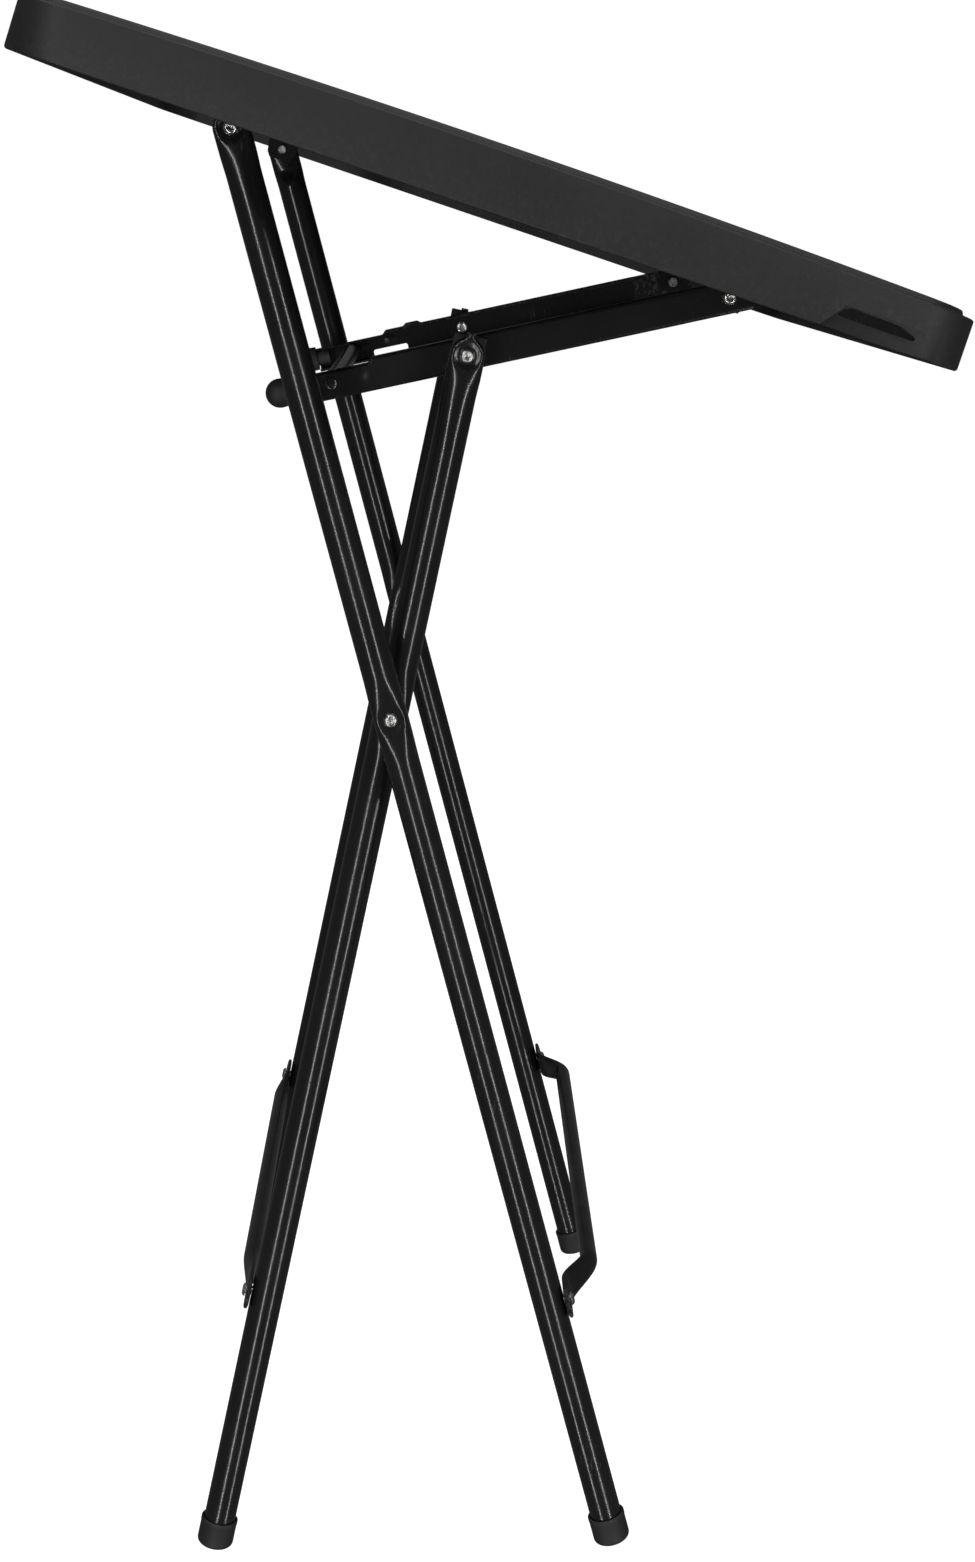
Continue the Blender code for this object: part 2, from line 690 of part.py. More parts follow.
def add_handle(side, top, frame):
    """A hand hold in the skirt: a thick wall, a shallow recess and a slot for the fingers."""
    label = SIDE_NAMES[side]
    edge = TOP_LENGTH / 2
    block_y = sorted((side * (edge - 0.001), side * (edge - HANDLE_BLOCK)))
    block = box_mesh(
        f"handle_block_{label}",
        (HANDLE_START - HANDLE_MARGINS[0], block_y[0], 0.0004),
        (LOW_END - HANDLE_END + HANDLE_MARGINS[1], block_y[1], PLATE_UNDER + 0.001),
    )
    combine(top, place(block.name, block, frame, None), "UNION")
    recess_y = sorted((side * (edge + CUTTER_EXTRA), side * (edge - HANDLE_RECESS)))
    recess = prism(f"handle_recess_{label}", handle_outline(), *recess_y)
    combine(top, place(recess.name, recess, frame, None), "DIFFERENCE")
    slot_top = HANDLE_HEIGHT - HANDLE_SLOT_INSET
    slot_low = slot_top - HANDLE_SLOT_HEIGHT
    left = HANDLE_START + HANDLE_SLOPE
    right = HANDLE_START + HANDLE_LENGTH - HANDLE_SLOPE
    outline = [(left - 0.003, slot_low), (right + 0.001, slot_low)]
    outline += [(right - 0.001, slot_top), (left, slot_top)]
    slot_y = sorted((side * (edge + CUTTER_EXTRA), side * (edge - HANDLE_BLOCK - CUTTER_EXTRA)))
    slot = prism(f"handle_slot_{label}", outline, *slot_y)
    combine(top, place(slot.name, slot, frame, None), "DIFFERENCE")


def table_top(frame, looks):
    top = top_shell(frame, looks["plastic"])
    add_ribs(top, frame)
    for side in SIDES:
        add_handle(side, top, frame)
        leg_face = OUTER_Y - PRESSED_END / 2 - GAP
        bracket("leg", side, frame, 0, leg_face, looks, top)
        rail_face = RAIL_Y - RAIL_SHEET - GAP
        bracket("rail", side, frame, PIVOT_SPAN, rail_face, looks, top)
        top_pivot_rivet(side, frame, looks)


def rails(frame, looks):
    for side in SIDES:
        rail(side, frame, looks)
        rail_cap(side, frame, looks["cap"])
        rail_stud(side, frame, looks)
        rail_pivot_rivet(side, frame, looks)
    cross_bar(frame, looks)


def centre_over_floor(frames):
    """Moves the frames together so that the table's box is centred over the origin."""
    bpy.context.view_layer.update()
    graph = bpy.context.evaluated_depsgraph_get()
    spots = []
    for obj in bpy.context.scene.objects:
        if obj.type != "MESH" or obj.hide_render:
            continue
        shape = obj.evaluated_get(graph)
        spots += [(obj.matrix_world @ Vector(corner)).x for corner in shape.bound_box]
    for frame in frames:
        frame.location.x -= (min(spots) + max(spots)) / 2


def main():
    clear_scene()
    looks = {
        "plastic": material("black_plastic", (0.020, 0.020, 0.021), 0.55, 0.0),
        "steel": material("black_steel", (0.012, 0.012, 0.012), 0.28, 0.0),
        "cap": material("dark_cap", (0.022, 0.022, 0.023), 0.6, 0.0),
        "rivet": material("bright_rivet", (0.62, 0.62, 0.60), 0.25, 1.0),
    }
    outer = body_frame("outer_legs_pivot", CROSSING, -OUTER_LEAN)
    inner = body_frame("inner_legs_pivot", CROSSING, INNER_LEAN)
    top = body_frame("table_top_pivot", TOP_PIVOT, TOP_TILT)
    arms = body_frame("rails_pivot", RAIL_PIVOT, -RAIL_RISE)

    leg_pair("outer", outer, OUTER_Y, lower_length(OUTER_LEAN), OUTER_UPPER, 1, looks)
    leg_pair("inner", inner, INNER_Y, lower_length(INNER_LEAN), INNER_UPPER, -1, looks)
    for side in SIDES:
        crossing_pivot(side, outer, looks)
        leg_end_block(side, inner, looks["cap"])
        leg_pivot_rivet(side, inner, looks)
    table_top(top, looks)
    rails(arms, looks)
    centre_over_floor((outer, inner, top, arms))


main()
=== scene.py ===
"""Detailed pieces, finishes and stage for a small folding table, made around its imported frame."""

import json
import math

import bmesh
import bpy
from mathutils import Matrix, Vector

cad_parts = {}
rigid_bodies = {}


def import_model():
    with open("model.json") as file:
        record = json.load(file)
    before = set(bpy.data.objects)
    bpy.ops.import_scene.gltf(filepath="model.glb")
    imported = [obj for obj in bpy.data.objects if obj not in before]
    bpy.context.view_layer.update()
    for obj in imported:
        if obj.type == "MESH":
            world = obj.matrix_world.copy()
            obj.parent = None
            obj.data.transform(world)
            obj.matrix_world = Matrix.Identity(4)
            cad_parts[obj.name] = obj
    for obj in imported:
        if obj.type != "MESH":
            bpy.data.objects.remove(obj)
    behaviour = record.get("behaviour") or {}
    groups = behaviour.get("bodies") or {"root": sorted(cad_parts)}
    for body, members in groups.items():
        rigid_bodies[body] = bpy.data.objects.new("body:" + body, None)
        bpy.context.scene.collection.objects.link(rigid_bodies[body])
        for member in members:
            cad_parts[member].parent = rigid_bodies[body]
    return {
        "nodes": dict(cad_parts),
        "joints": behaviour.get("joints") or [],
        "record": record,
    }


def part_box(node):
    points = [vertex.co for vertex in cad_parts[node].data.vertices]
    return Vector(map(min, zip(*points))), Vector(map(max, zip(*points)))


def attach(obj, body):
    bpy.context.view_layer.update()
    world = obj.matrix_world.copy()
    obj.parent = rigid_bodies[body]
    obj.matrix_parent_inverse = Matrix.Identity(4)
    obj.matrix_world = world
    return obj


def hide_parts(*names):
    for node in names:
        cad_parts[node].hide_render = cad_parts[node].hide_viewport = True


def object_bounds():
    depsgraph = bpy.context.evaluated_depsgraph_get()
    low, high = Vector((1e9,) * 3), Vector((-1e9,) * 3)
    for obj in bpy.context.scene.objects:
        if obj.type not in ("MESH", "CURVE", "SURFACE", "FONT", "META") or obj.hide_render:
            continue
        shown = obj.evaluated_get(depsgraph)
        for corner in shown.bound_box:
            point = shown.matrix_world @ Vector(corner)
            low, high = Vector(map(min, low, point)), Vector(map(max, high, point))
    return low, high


bl_info = {
    "name": "Folding Table",
    "version": (1, 0, 0),
    "blender": (4, 5, 0),
    "location": "View3D > Sidebar > Folding Table",
    "description": "Makes the pieces, finishes and stage of a small folding table",
    "category": "Object",
}

for leftover in list(bpy.data.objects):
    bpy.data.objects.remove(leftover, do_unlink=True)
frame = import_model()
CAD_LOW, CAD_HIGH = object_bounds()

SIDES = {"near": -1, "far": 1}
GAP = 0.0003


# Where the bodies are. Each has its own frame, with +Y along every pivot.


def joint_spot(name):
    joint = next(j for j in frame["joints"] if j["name"] == name)
    return Vector(joint["pos_m"])


def mount_spot(name):
    mount = next(m for m in frame["record"]["mounts"] if m["name"] == name)
    return Vector(mount["pos_m"])


def middle_of(node):
    low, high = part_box(node)
    return (low + high) / 2


def turn_from_up(start, end):
    """The turn about +Y that takes +Z to the direction from start to end."""
    return math.atan2(end.x - start.x, end.z - start.z)


def frame_at(spot, turn):
    return Matrix.Translation(spot) @ Matrix.Rotation(turn, 4, "Y")


CROSSING = joint_spot("inner_leg_fold")
TOP_PIVOT = joint_spot("top_fold")
RAIL_PIVOT = joint_spot("rail_fold")
LEG_PIVOT = middle_of("leg_rivet_near") * Vector((1, 0, 1))
QUARTER = math.pi / 2
FRAMES = {
    "outer_frame": frame_at(CROSSING, turn_from_up(CROSSING, TOP_PIVOT)),
    "inner_frame": frame_at(CROSSING, turn_from_up(CROSSING, LEG_PIVOT)),
    "top": frame_at(TOP_PIVOT, turn_from_up(TOP_PIVOT, RAIL_PIVOT) - QUARTER),
    "rails": frame_at(RAIL_PIVOT, turn_from_up(LEG_PIVOT, RAIL_PIVOT) - QUARTER),
}
OUTER_UPPER = (TOP_PIVOT - CROSSING).length
INNER_UPPER = (LEG_PIVOT - CROSSING).length
PIVOT_SPAN = (RAIL_PIVOT - TOP_PIVOT).length
RAIL_REACH = (RAIL_PIVOT - LEG_PIVOT).length
OUTER_Y = middle_of("outer_leg_far").y
INNER_Y = middle_of("inner_leg_far").y
RAIL_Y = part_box("rail_far")[1].y
TOP_LENGTH = CAD_HIGH.y - CAD_LOW.y


def length_metres(text, default, details):
    return bpy.props.FloatProperty(
        name=text, description=details, default=default, min=0, subtype="DISTANCE", unit="LENGTH"
    )


def colour(text, default, details):
    return bpy.props.FloatVectorProperty(
        name=text, description=details, default=default, size=3, min=0, max=1, subtype="COLOR"
    )


class TubeSizes(bpy.types.PropertyGroup):
    """Sizes of the leg tubes and of what is fixed to them"""

    diameter: length_metres("Diameter", 0.0183, "Outside diameter of a leg tube")
    wall: length_metres("Wall", 0.0012, "Thickness of the tube's wall")
    crossing_inner: length_metres("Crossing Inner", 0.013, "Twice the pressed inner half's depth")
    crossing_outer: length_metres("Crossing Outer", 0.0160, "Twice the pressed outer half's depth")
    end_inner: length_metres("End Inner", 0.008, "The same at the upper end, inner half")
    end_outer: length_metres("End Outer", 0.0122, "The same at the upper end, outer half")
    seat: length_metres("Seat", 0.0085, "Radius of the dished seat round a rivet")
    spread: bpy.props.FloatProperty(
        name="Spread", description="Share of a pressed tube's freed width that shows", default=0.12
    )
    outer_reach: length_metres("Outer Reach", 0.0125, "Half length of an outer leg's pressed end")
    inner_reach: length_metres("Inner Reach", 0.0095, "Half length of an inner leg's pressed end")
    end_taper: length_metres("End Taper", 0.012, "Length over which an end grows round again")
    face_taper: length_metres("Face Taper", 0.040, "The same length on the outer face")
    overhang: length_metres("Overhang", 0.0115, "Length of tube above the upper pivot")
    brace_drop: length_metres("Brace Drop", 0.350, "From the crossing down to the brace")
    outer_brace_reach: length_metres("Outer Brace Reach", 0.026, "From the outer legs to their brace")
    inner_brace_reach: length_metres("Inner Brace Reach", 0.0125, "From the inner legs to their brace")
    brace_width: length_metres("Brace Width", 0.0098, "Width of the brace's oval middle")
    brace_depth: length_metres("Brace Depth", 0.0132, "Height of the brace's oval middle")
    brace_flat: length_metres("Brace Flat", 0.003, "Thickness of the brace's flattened ends")
    brace_flat_depth: length_metres("Brace Flat Depth", 0.018, "Height of the flattened ends")
    cap_height: length_metres("Cap Height", 0.017, "Height of a foot cap")


class TopSizes(bpy.types.PropertyGroup):
    """Sizes of the moulded top"""

    side: length_metres("Side", 0.468, "Short side of the top")
    pivot_inset: length_metres("Pivot Inset", 0.0995, "From the high end to the leg pivot")
    height: length_metres("Height", 0.0275, "Height of the edge with the crown")
    plate: length_metres("Plate", 0.005, "Thickness of the top's plate")
    crown: length_metres("Crown", 0.0026, "Step from the rim up to the work surface")
    dome: length_metres("Dome", 0.0036, "Rise of the work surface at the middle of its short side")
    rim: length_metres("Rim", 0.0066, "Width of the rim round the work surface")
    wall: length_metres("Wall", 0.0035, "Thickness of the edge")
    corner: length_metres("Corner Radius", 0.028, "Radius of the corners seen from above")
    rib_height: length_metres("Rib Height", 0.008, "How far the ribs stand out below the plate")
    rib_wall: length_metres("Rib Wall", 0.003, "Thickness of a rib")
    handle_end: length_metres("Hand Hold End", 0.023, "From the low end to the hand hold")
    handle_length: length_metres("Hand Hold Length", 0.051, "Length of the hand hold")
    handle_height: length_metres("Hand Hold Height", 0.0125, "Height of the hand hold")
    handle_recess: length_metres("Hand Hold Recess", 0.0028, "How far its lower part is set in")


class RailSizes(bpy.types.PropertyGroup):
    """Sizes of the rails and their fittings"""

    height: length_metres("Height", 0.0175, "Height of a rail")
    depth: length_metres("Depth", 0.012, "Depth of the channel")
    sheet: length_metres("Sheet", 0.0016, "Thickness of the sheet")
    tail: length_metres("Tail", 0.0972, "Length of rail beyond the inner leg's pivot")
    step: length_metres("Step", 0.0026, "How far the tail's upper edge is set down")
    bar_radius: length_metres("Bar Radius", 0.0048, "Radius of the bar between the rails")
    bar_setback: length_metres("Bar Setback", 0.0232, "From the rail's open end to the bar")
    cap_radius: length_metres("Cap Radius", 0.0078, "Radius of a rail's end cap")


class Finishes(bpy.types.PropertyGroup):
    """Base colours of the table's finishes"""

    top: colour("Top", (0.0132, 0.0132, 0.0136), "Moulded top")
    steel: colour("Steel", (0.0088, 0.0088, 0.0092), "Black coated tubes, rails and brackets")
    cap: colour("Caps", (0.0185, 0.0185, 0.019), "Plastic caps and blocks")
    bright: colour("Bright", (0.66, 0.65, 0.63), "Plated rivets and screws")
    floor: colour("Floor", (0.45, 0.45, 0.45), "Stage floor")


# Mesh helpers.


def mesh_of(name, build):
    """Closes a build into a mesh whose faces point outwards."""
    bmesh.ops.recalc_face_normals(build, faces=build.faces)
    mesh = bpy.data.meshes.new(name)
    build.to_mesh(mesh)
    build.free()
    return mesh


def loft(name, rings, around=False):
    """Skins rings of equal length, with two caps, or right round."""
    build = bmesh.new()
    rows = [[build.verts.new(point) for point in ring] for ring in rings]
    pairs = list(zip(rows, rows[1:]))
    if around:
        pairs.append((rows[-1], rows[0]))
    for one, two in pairs:
        for i in range(len(one)):
            j = (i + 1) % len(one)
            build.faces.new((one[i], one[j], two[j], two[i]))
    if not around:
        build.faces.new(rows[0])
        build.faces.new(rows[-1])
    return mesh_of(name, build)


def turned(name, profile, sides=40, around=False):
    """A solid of revolution about Z from (radius, height) pairs."""
    rings = []
    for radius, height in profile:
        turns = [2 * math.pi * i / sides for i in range(sides)]
        rings.append([Vector((radius * math.cos(t), radius * math.sin(t), height)) for t in turns])
    return loft(name, rings, around)


def box(name, low, high):
    rings = []
    for z in (low[2], high[2]):
        corners = ((low[0], low[1]), (high[0], low[1]), (high[0], high[1]), (low[0], high[1]))
        rings.append([Vector((x, y, z)) for x, y in corners])
    return loft(name, rings)


def prism(name, outline, low_y, high_y):
    return loft(name, [[Vector((x, y, z)) for x, z in outline] for y in (low_y, high_y)])


def arc(centre, radius, start, stop, steps):
    """Points of an arc, its angles in degrees."""
    points = []
    for i in range(steps + 1):
        turn = math.radians(start + (stop - start) * i / steps)
        x, y = centre[0] + radius * math.cos(turn), centre[1] + radius * math.sin(turn)
        points.append((x, y))
    return points


def smooth_step(share):
    share = min(max(share, 0), 1)
    return share * share * (3 - 2 * share)


def helper(name, mesh):
    made = bpy.data.objects.new(name, mesh)
    bpy.context.scene.collection.objects.link(made)
    return made


def evaluated(obj, name):
    """A plain mesh of what the object's modifiers make, and the object removed."""
    bpy.context.view_layer.update()
    graph = bpy.context.evaluated_depsgraph_get()
    mesh = bpy.data.meshes.new_from_object(obj.evaluated_get(graph), depsgraph=graph)
    mesh.name = name
    bpy.data.objects.remove(obj, do_unlink=True)
    return mesh


def bevelled(mesh, width, segments=3, angle=30):
    """The mesh with its sharp edges rounded."""
    obj = helper("bevel", mesh)
    modifier = obj.modifiers.new("bevel", "BEVEL")
    modifier.width = width
    modifier.segments = segments
    modifier.limit_method = "ANGLE"
    modifier.angle_limit = math.radians(angle)
    return evaluated(obj, mesh.name)


def cut(mesh, tools):
    """The mesh after each (operation, tool mesh) in turn."""
    obj = helper("cut", mesh)
    others = []
    for operation, tool in tools:
        other = helper("tool", tool)
        modifier = obj.modifiers.new("cut", "BOOLEAN")
        modifier.operation = operation
        modifier.object = other
        modifier.solver = "EXACT"
        others.append(other)
    made = evaluated(obj, mesh.name)
    for other in others:
        bpy.data.objects.remove(other, do_unlink=True)
    return made


def joined(name, meshes):
    build = bmesh.new()
    for mesh in meshes:
        build.from_mesh(mesh)
    made = bpy.data.meshes.new(name)
    build.to_mesh(made)
    build.free()
    return made


def mark_edges(mesh):
    """Stores how sharp the outward bend at each point is, for wear."""
    build = bmesh.new()
    build.from_mesh(mesh)
    sharpness = []
    for vert in build.verts:
        bends = [e.calc_face_angle_signed(0) for e in vert.link_edges if e.is_manifold]
        bend = math.degrees(max(bends, default=0))
        sharpness.append(smooth_step((bend - 12) / 30))
    build.free()
    attribute = mesh.attributes.new("edge", "FLOAT", "POINT")
    attribute.data.foreach_set("value", sharpness)


def add_piece(name, mesh, body, look, stands_for=(), placed=False):
    """Puts a finished mesh in its body's frame, gives it its finish and hides what it stands for."""
    if not placed:
        mesh.transform(FRAMES[body])
    mark_edges(mesh)
    mesh.materials.clear()
    mesh.materials.append(look)
    mesh.shade_smooth()
    mesh.set_sharp_from_angle(angle=math.radians(34))
    obj = helper(name, mesh)
    if stands_for:
        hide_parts(*stands_for)
    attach(obj, body)
    return obj


# Node helpers.


def node(tree, kind, settings=None, inputs=None):
    made = tree.nodes.new(kind)
    for key, value in (settings or {}).items():
        setattr(made, key, value)
    for key, value in (inputs or {}).items():
        if isinstance(value, bpy.types.NodeSocket):
            tree.links.new(value, made.inputs[key])
        else:
            made.inputs[key].default_value = value
    return made


def calc(tree, operation, *values):
    made = node(tree, "ShaderNodeMath", {"operation": operation}, dict(enumerate(values)))
    return made.outputs[0]


def ramp(tree, value, low, high, start=0.0, stop=1.0, smooth=True):
    """Carries a value from one range to another, held at the ends."""
    kind = "SMOOTHSTEP" if smooth else "LINEAR"
    inputs = {0: value, 1: low, 2: high, 3: start, 4: stop}
    return node(tree, "ShaderNodeMapRange", {"interpolation_type": kind}, inputs).outputs[0]


def sockets(tree, inputs, outputs):
    """Adds named sockets, and returns the group's input node and output node."""
    for direction, listed in (("INPUT", inputs), ("OUTPUT", outputs)):
        for name, kind, default in listed:
            made = tree.interface.new_socket(name, in_out=direction, socket_type="NodeSocket" + kind)
            if default is not None:
                made.default_value = default
    return tree.nodes.new("NodeGroupInput"), tree.nodes.new("NodeGroupOutput")


def shader_group(name, inputs, outputs):
    tree = bpy.data.node_groups.new(name, "ShaderNodeTree")
    return (tree, *sockets(tree, inputs, outputs))


def object_place(tree):
    return node(tree, "ShaderNodeTexCoord").outputs["Object"]


def noise(tree, place, scale, detail=2.0, roughness=0.5):
    inputs = {"Vector": place, "Scale": scale, "Detail": detail, "Roughness": roughness}
    return node(tree, "ShaderNodeTexNoise", None, inputs).outputs[0]


# Surface effects that several finishes share.


def mottle_group():
    """Slow change of tone over a surface."""
    tree, given, out = shader_group(
        "Mottle", [("Scale", "Float", 20.0), ("Fine Scale", "Float", 300.0)], [("Tone", "Float", None)]
    )
    place = object_place(tree)
    slow = noise(tree, place, given.outputs["Scale"], 3.0)
    fine = noise(tree, place, given.outputs["Fine Scale"], 2.0)
    both = calc(tree, "ADD", calc(tree, "MULTIPLY", slow, 0.65), calc(tree, "MULTIPLY", fine, 0.35))
    tree.links.new(ramp(tree, both, 0.32, 0.68, smooth=False), out.inputs[0])
    return tree


def pebble_group():
    """The fine grain of a moulded or coated surface, as a height."""
    tree, given, out = shader_group(
        "Pebble", [("Scale", "Float", 1200.0), ("Blend", "Float", 0.5)], [("Height", "Float", None)]
    )
    place = object_place(tree)
    cells = node(
        tree,
        "ShaderNodeTexVoronoi",
        {"feature": "SMOOTH_F1"},
        {"Vector": place, "Scale": given.outputs["Scale"], "Smoothness": 0.6},
    ).outputs["Distance"]
    fine = noise(tree, place, calc(tree, "MULTIPLY", given.outputs["Scale"], 1.7), 2.0)
    mixed = node(
        tree, "ShaderNodeMix", {"data_type": "FLOAT"}, {0: given.outputs["Blend"], 2: cells, 3: fine}
    ).outputs[0]
    tree.links.new(mixed, out.inputs[0])
    return tree


def wear_group():
    """Rubbed places along outward edges, broken up by noise."""
    tree, given, out = shader_group(
        "Edge Wear", [("Amount", "Float", 0.5), ("Scale", "Float", 260.0)], [("Wear", "Float", None)]
    )
    edge = node(tree, "ShaderNodeAttribute", {"attribute_name": "edge"}).outputs["Fac"]
    broken = noise(tree, object_place(tree), given.outputs["Scale"], 4.0, 0.65)
    shown = ramp(tree, broken, 0.46, 0.70)
    product = calc(tree, "MULTIPLY", calc(tree, "MULTIPLY", edge, shown), given.outputs["Amount"])
    tree.links.new(product, out.inputs[0])
    return tree


def dust_group():
    """A thin veil of dust on what faces up."""
    tree, given, out = shader_group(
        "Dust", [("Amount", "Float", 0.2), ("Scale", "Float", 60.0)], [("Dust", "Float", None)]
    )
    normal = node(tree, "ShaderNodeNewGeometry").outputs["Normal"]
    up = node(tree, "ShaderNodeSeparateXYZ", None, {0: normal}).outputs["Z"]
    patches = noise(tree, object_place(tree), given.outputs["Scale"], 5.0, 0.6)
    facing = ramp(tree, up, 0.15, 0.95)
    shown = calc(tree, "MULTIPLY", facing, ramp(tree, patches, 0.40, 0.72))
    tree.links.new(calc(tree, "MULTIPLY", shown, given.outputs["Amount"]), out.inputs[0])
    return tree


def scratch_group():
    """Hair-thin rubs along one direction."""
    tree, given, out = shader_group(
        "Rubs", [("Amount", "Float", 0.2), ("Scale", "Float", 90.0)], [("Rub", "Float", None)]
    )
    stretch = node(
        tree, "ShaderNodeMapping", None, {"Vector": object_place(tree), "Scale": (9.0, 9.0, 1.0)}
    ).outputs[0]
    lines = noise(tree, stretch, given.outputs["Scale"], 2.0, 0.4)
    where = noise(tree, object_place(tree), 14.0, 2.0)
    thin = ramp(tree, lines, 0.66, 0.72)
    shown = calc(tree, "MULTIPLY", thin, ramp(tree, where, 0.50, 0.66))
    tree.links.new(calc(tree, "MULTIPLY", shown, given.outputs["Amount"]), out.inputs[0])
    return tree


GROUPS = {
    "mottle": mottle_group,
    "pebble": pebble_group,
    "wear": wear_group,
    "dust": dust_group,
    "rubs": scratch_group,
}
built_groups = {}


def effect(tree, kind, **values):
    """One shared effect placed in a material with its own values."""
    if kind not in built_groups:
        built_groups[kind] = GROUPS[kind]()
    placed = node(tree, "ShaderNodeGroup", {"node_tree": built_groups[kind]})
    for key, value in values.items():
        placed.inputs[key.replace("_", " ").title()].default_value = value
    return placed.outputs[0]


def tinted(tree, share, one, two):
    """A colour between two, which are colours or sockets."""
    sides = [v if isinstance(v, bpy.types.NodeSocket) else (*v, 1) for v in (one, two)]
    inputs = {0: share, 6: sides[0], 7: sides[1]}
    return node(tree, "ShaderNodeMix", {"data_type": "RGBA"}, inputs).outputs[2]


def scaled(base, factor):
    return tuple(min(channel * factor, 1) for channel in base)


def new_look(name):
    look = bpy.data.materials.new(name)
    look.use_nodes = True
    return look, look.node_tree, look.node_tree.nodes["Principled BSDF"]


def wire(tree, shader, base, roughness, height, distance, strength):
    bump = node(
        tree, "ShaderNodeBump", None, {"Height": height, "Distance": distance, "Strength": strength}
    )
    tree.links.new(base, shader.inputs["Base Color"])
    tree.links.new(roughness, shader.inputs["Roughness"])
    tree.links.new(bump.outputs[0], shader.inputs["Normal"])


def moulded_plastic(name, base, grain, depth, rough, dust):
    """Grained plastic with paler rubbed edges, a little dust and painted shade in the hand holds."""
    look, tree, shader = new_look(name)
    tone = effect(tree, "mottle", scale=16.0, fine_scale=420.0)
    wear = effect(tree, "wear", amount=0.55, scale=330.0)
    veil = effect(tree, "dust", amount=dust, scale=48.0)
    rubs = effect(tree, "rubs", amount=0.35, scale=60.0)
    plain = tinted(tree, tone, scaled(base, 0.93), scaled(base, 1.08))
    rubbed = tinted(tree, calc(tree, "MAXIMUM", wear, rubs), plain, scaled(base, 2.6))
    # Painted shade: points marked inside the hand holds are darkened towards a tenth of the base colour.
    hollow = node(tree, "ShaderNodeAttribute", {"attribute_name": "hollow"}).outputs["Fac"]
    shaded = tinted(tree, calc(tree, "MULTIPLY", hollow, 0.85), rubbed, scaled(base, 0.1))
    final = tinted(tree, veil, shaded, (0.19, 0.185, 0.175))
    height = effect(tree, "pebble", scale=grain, blend=0.35)
    roughness = calc(tree, "ADD", ramp(tree, tone, 0, 1, rough - 0.05, rough + 0.05), veil)
    wire(tree, shader, final, roughness, height, depth, 0.55)
    shader.inputs["Specular IOR Level"].default_value = 0.34
    return look


def coated_steel(name, base):
    """Glossy black coat with slight orange peel, thin at the edges."""
    look, tree, shader = new_look(name)
    tone = effect(tree, "mottle", scale=26.0, fine_scale=640.0)
    wear = effect(tree, "wear", amount=0.5, scale=420.0)
    veil = effect(tree, "dust", amount=0.07, scale=70.0)
    rubs = effect(tree, "rubs", amount=0.22, scale=80.0)
    plain = tinted(tree, tone, scaled(base, 0.85), scaled(base, 1.15))
    rubbed = tinted(tree, calc(tree, "MAXIMUM", wear, rubs), plain, (0.10, 0.098, 0.095))
    final = tinted(tree, veil, rubbed, (0.16, 0.155, 0.15))
    height = effect(tree, "pebble", scale=760.0, blend=0.8)
    roughness = calc(tree, "ADD", ramp(tree, tone, 0, 1, 0.16, 0.21), calc(tree, "MULTIPLY", rubs, 0.5))
    wire(tree, shader, final, roughness, height, 0.00002, 0.10)
    return look


def plated_steel(name, base):
    """Bright plate with fine rings from the press, a patchy darker tone and brighter rubbed edges."""
    look, tree, shader = new_look(name)
    radius = node(tree, "ShaderNodeAttribute", {"attribute_name": "radius"}).outputs["Fac"]
    rings = calc(tree, "SINE", calc(tree, "MULTIPLY", radius, 26000.0))
    tone = effect(tree, "mottle", scale=220.0, fine_scale=1500.0)
    wear = effect(tree, "wear", amount=0.8, scale=500.0)
    plain = tinted(tree, tone, scaled(base, 0.62), base)
    final = tinted(tree, wear, plain, scaled(base, 1.3))
    height = calc(tree, "ADD", calc(tree, "MULTIPLY", rings, 0.3), tone)
    wire(tree, shader, final, ramp(tree, tone, 0, 1, 0.20, 0.36), height, 0.00003, 0.5)
    shader.inputs["Metallic"].default_value = 1.0
    return look


looks = {}


def look_of(slot):
    """The finish of a material slot, made the first time that it is asked for."""
    colours = bpy.context.scene.folding_finishes
    if slot not in looks:
        if slot == "top_plastic":
            made = moulded_plastic("moulded_top", tuple(colours.top), 1500.0, 0.00006, 0.52, 0.05)
        elif slot == "cap_plastic":
            made = moulded_plastic("cap_plastic", tuple(colours.cap), 2300.0, 0.00004, 0.58, 0.10)
        elif slot == "black_steel":
            made = coated_steel("black_coat", tuple(colours.steel))
        else:
            made = plated_steel("bright_plate", tuple(colours.bright))
        looks[slot] = made
    return looks[slot]


# Geometry node trees.


def geometry_tree(name, inputs):
    tree = bpy.data.node_groups.new(name, "GeometryNodeTree")
    shape = ("Geometry", "Geometry", None)
    given, out = sockets(tree, [shape, *inputs], [shape])
    return tree, given, out


def end_tree(tree, geometry, look, out):
    """Realize Instances and Set Material, which every tree ends in."""
    real = node(tree, "GeometryNodeRealizeInstances", None, {0: geometry})
    last = node(tree, "GeometryNodeSetMaterial", None, {"Geometry": real.outputs[0], "Material": look})
    tree.links.new(last.outputs[0], out.inputs[0])


def run_tree(tree, base, name, **values):
    """The plain mesh that a tree makes from a base mesh and these named inputs."""
    obj = helper(name, base)
    modifier = obj.modifiers.new(tree.name, "NODES")
    modifier.node_group = tree
    for item in tree.interface.items_tree:
        key = item.name.lower().replace(" ", "_")
        if item.in_out == "INPUT" and key in values:
            modifier[item.identifier] = values[key]
    return evaluated(obj, name)


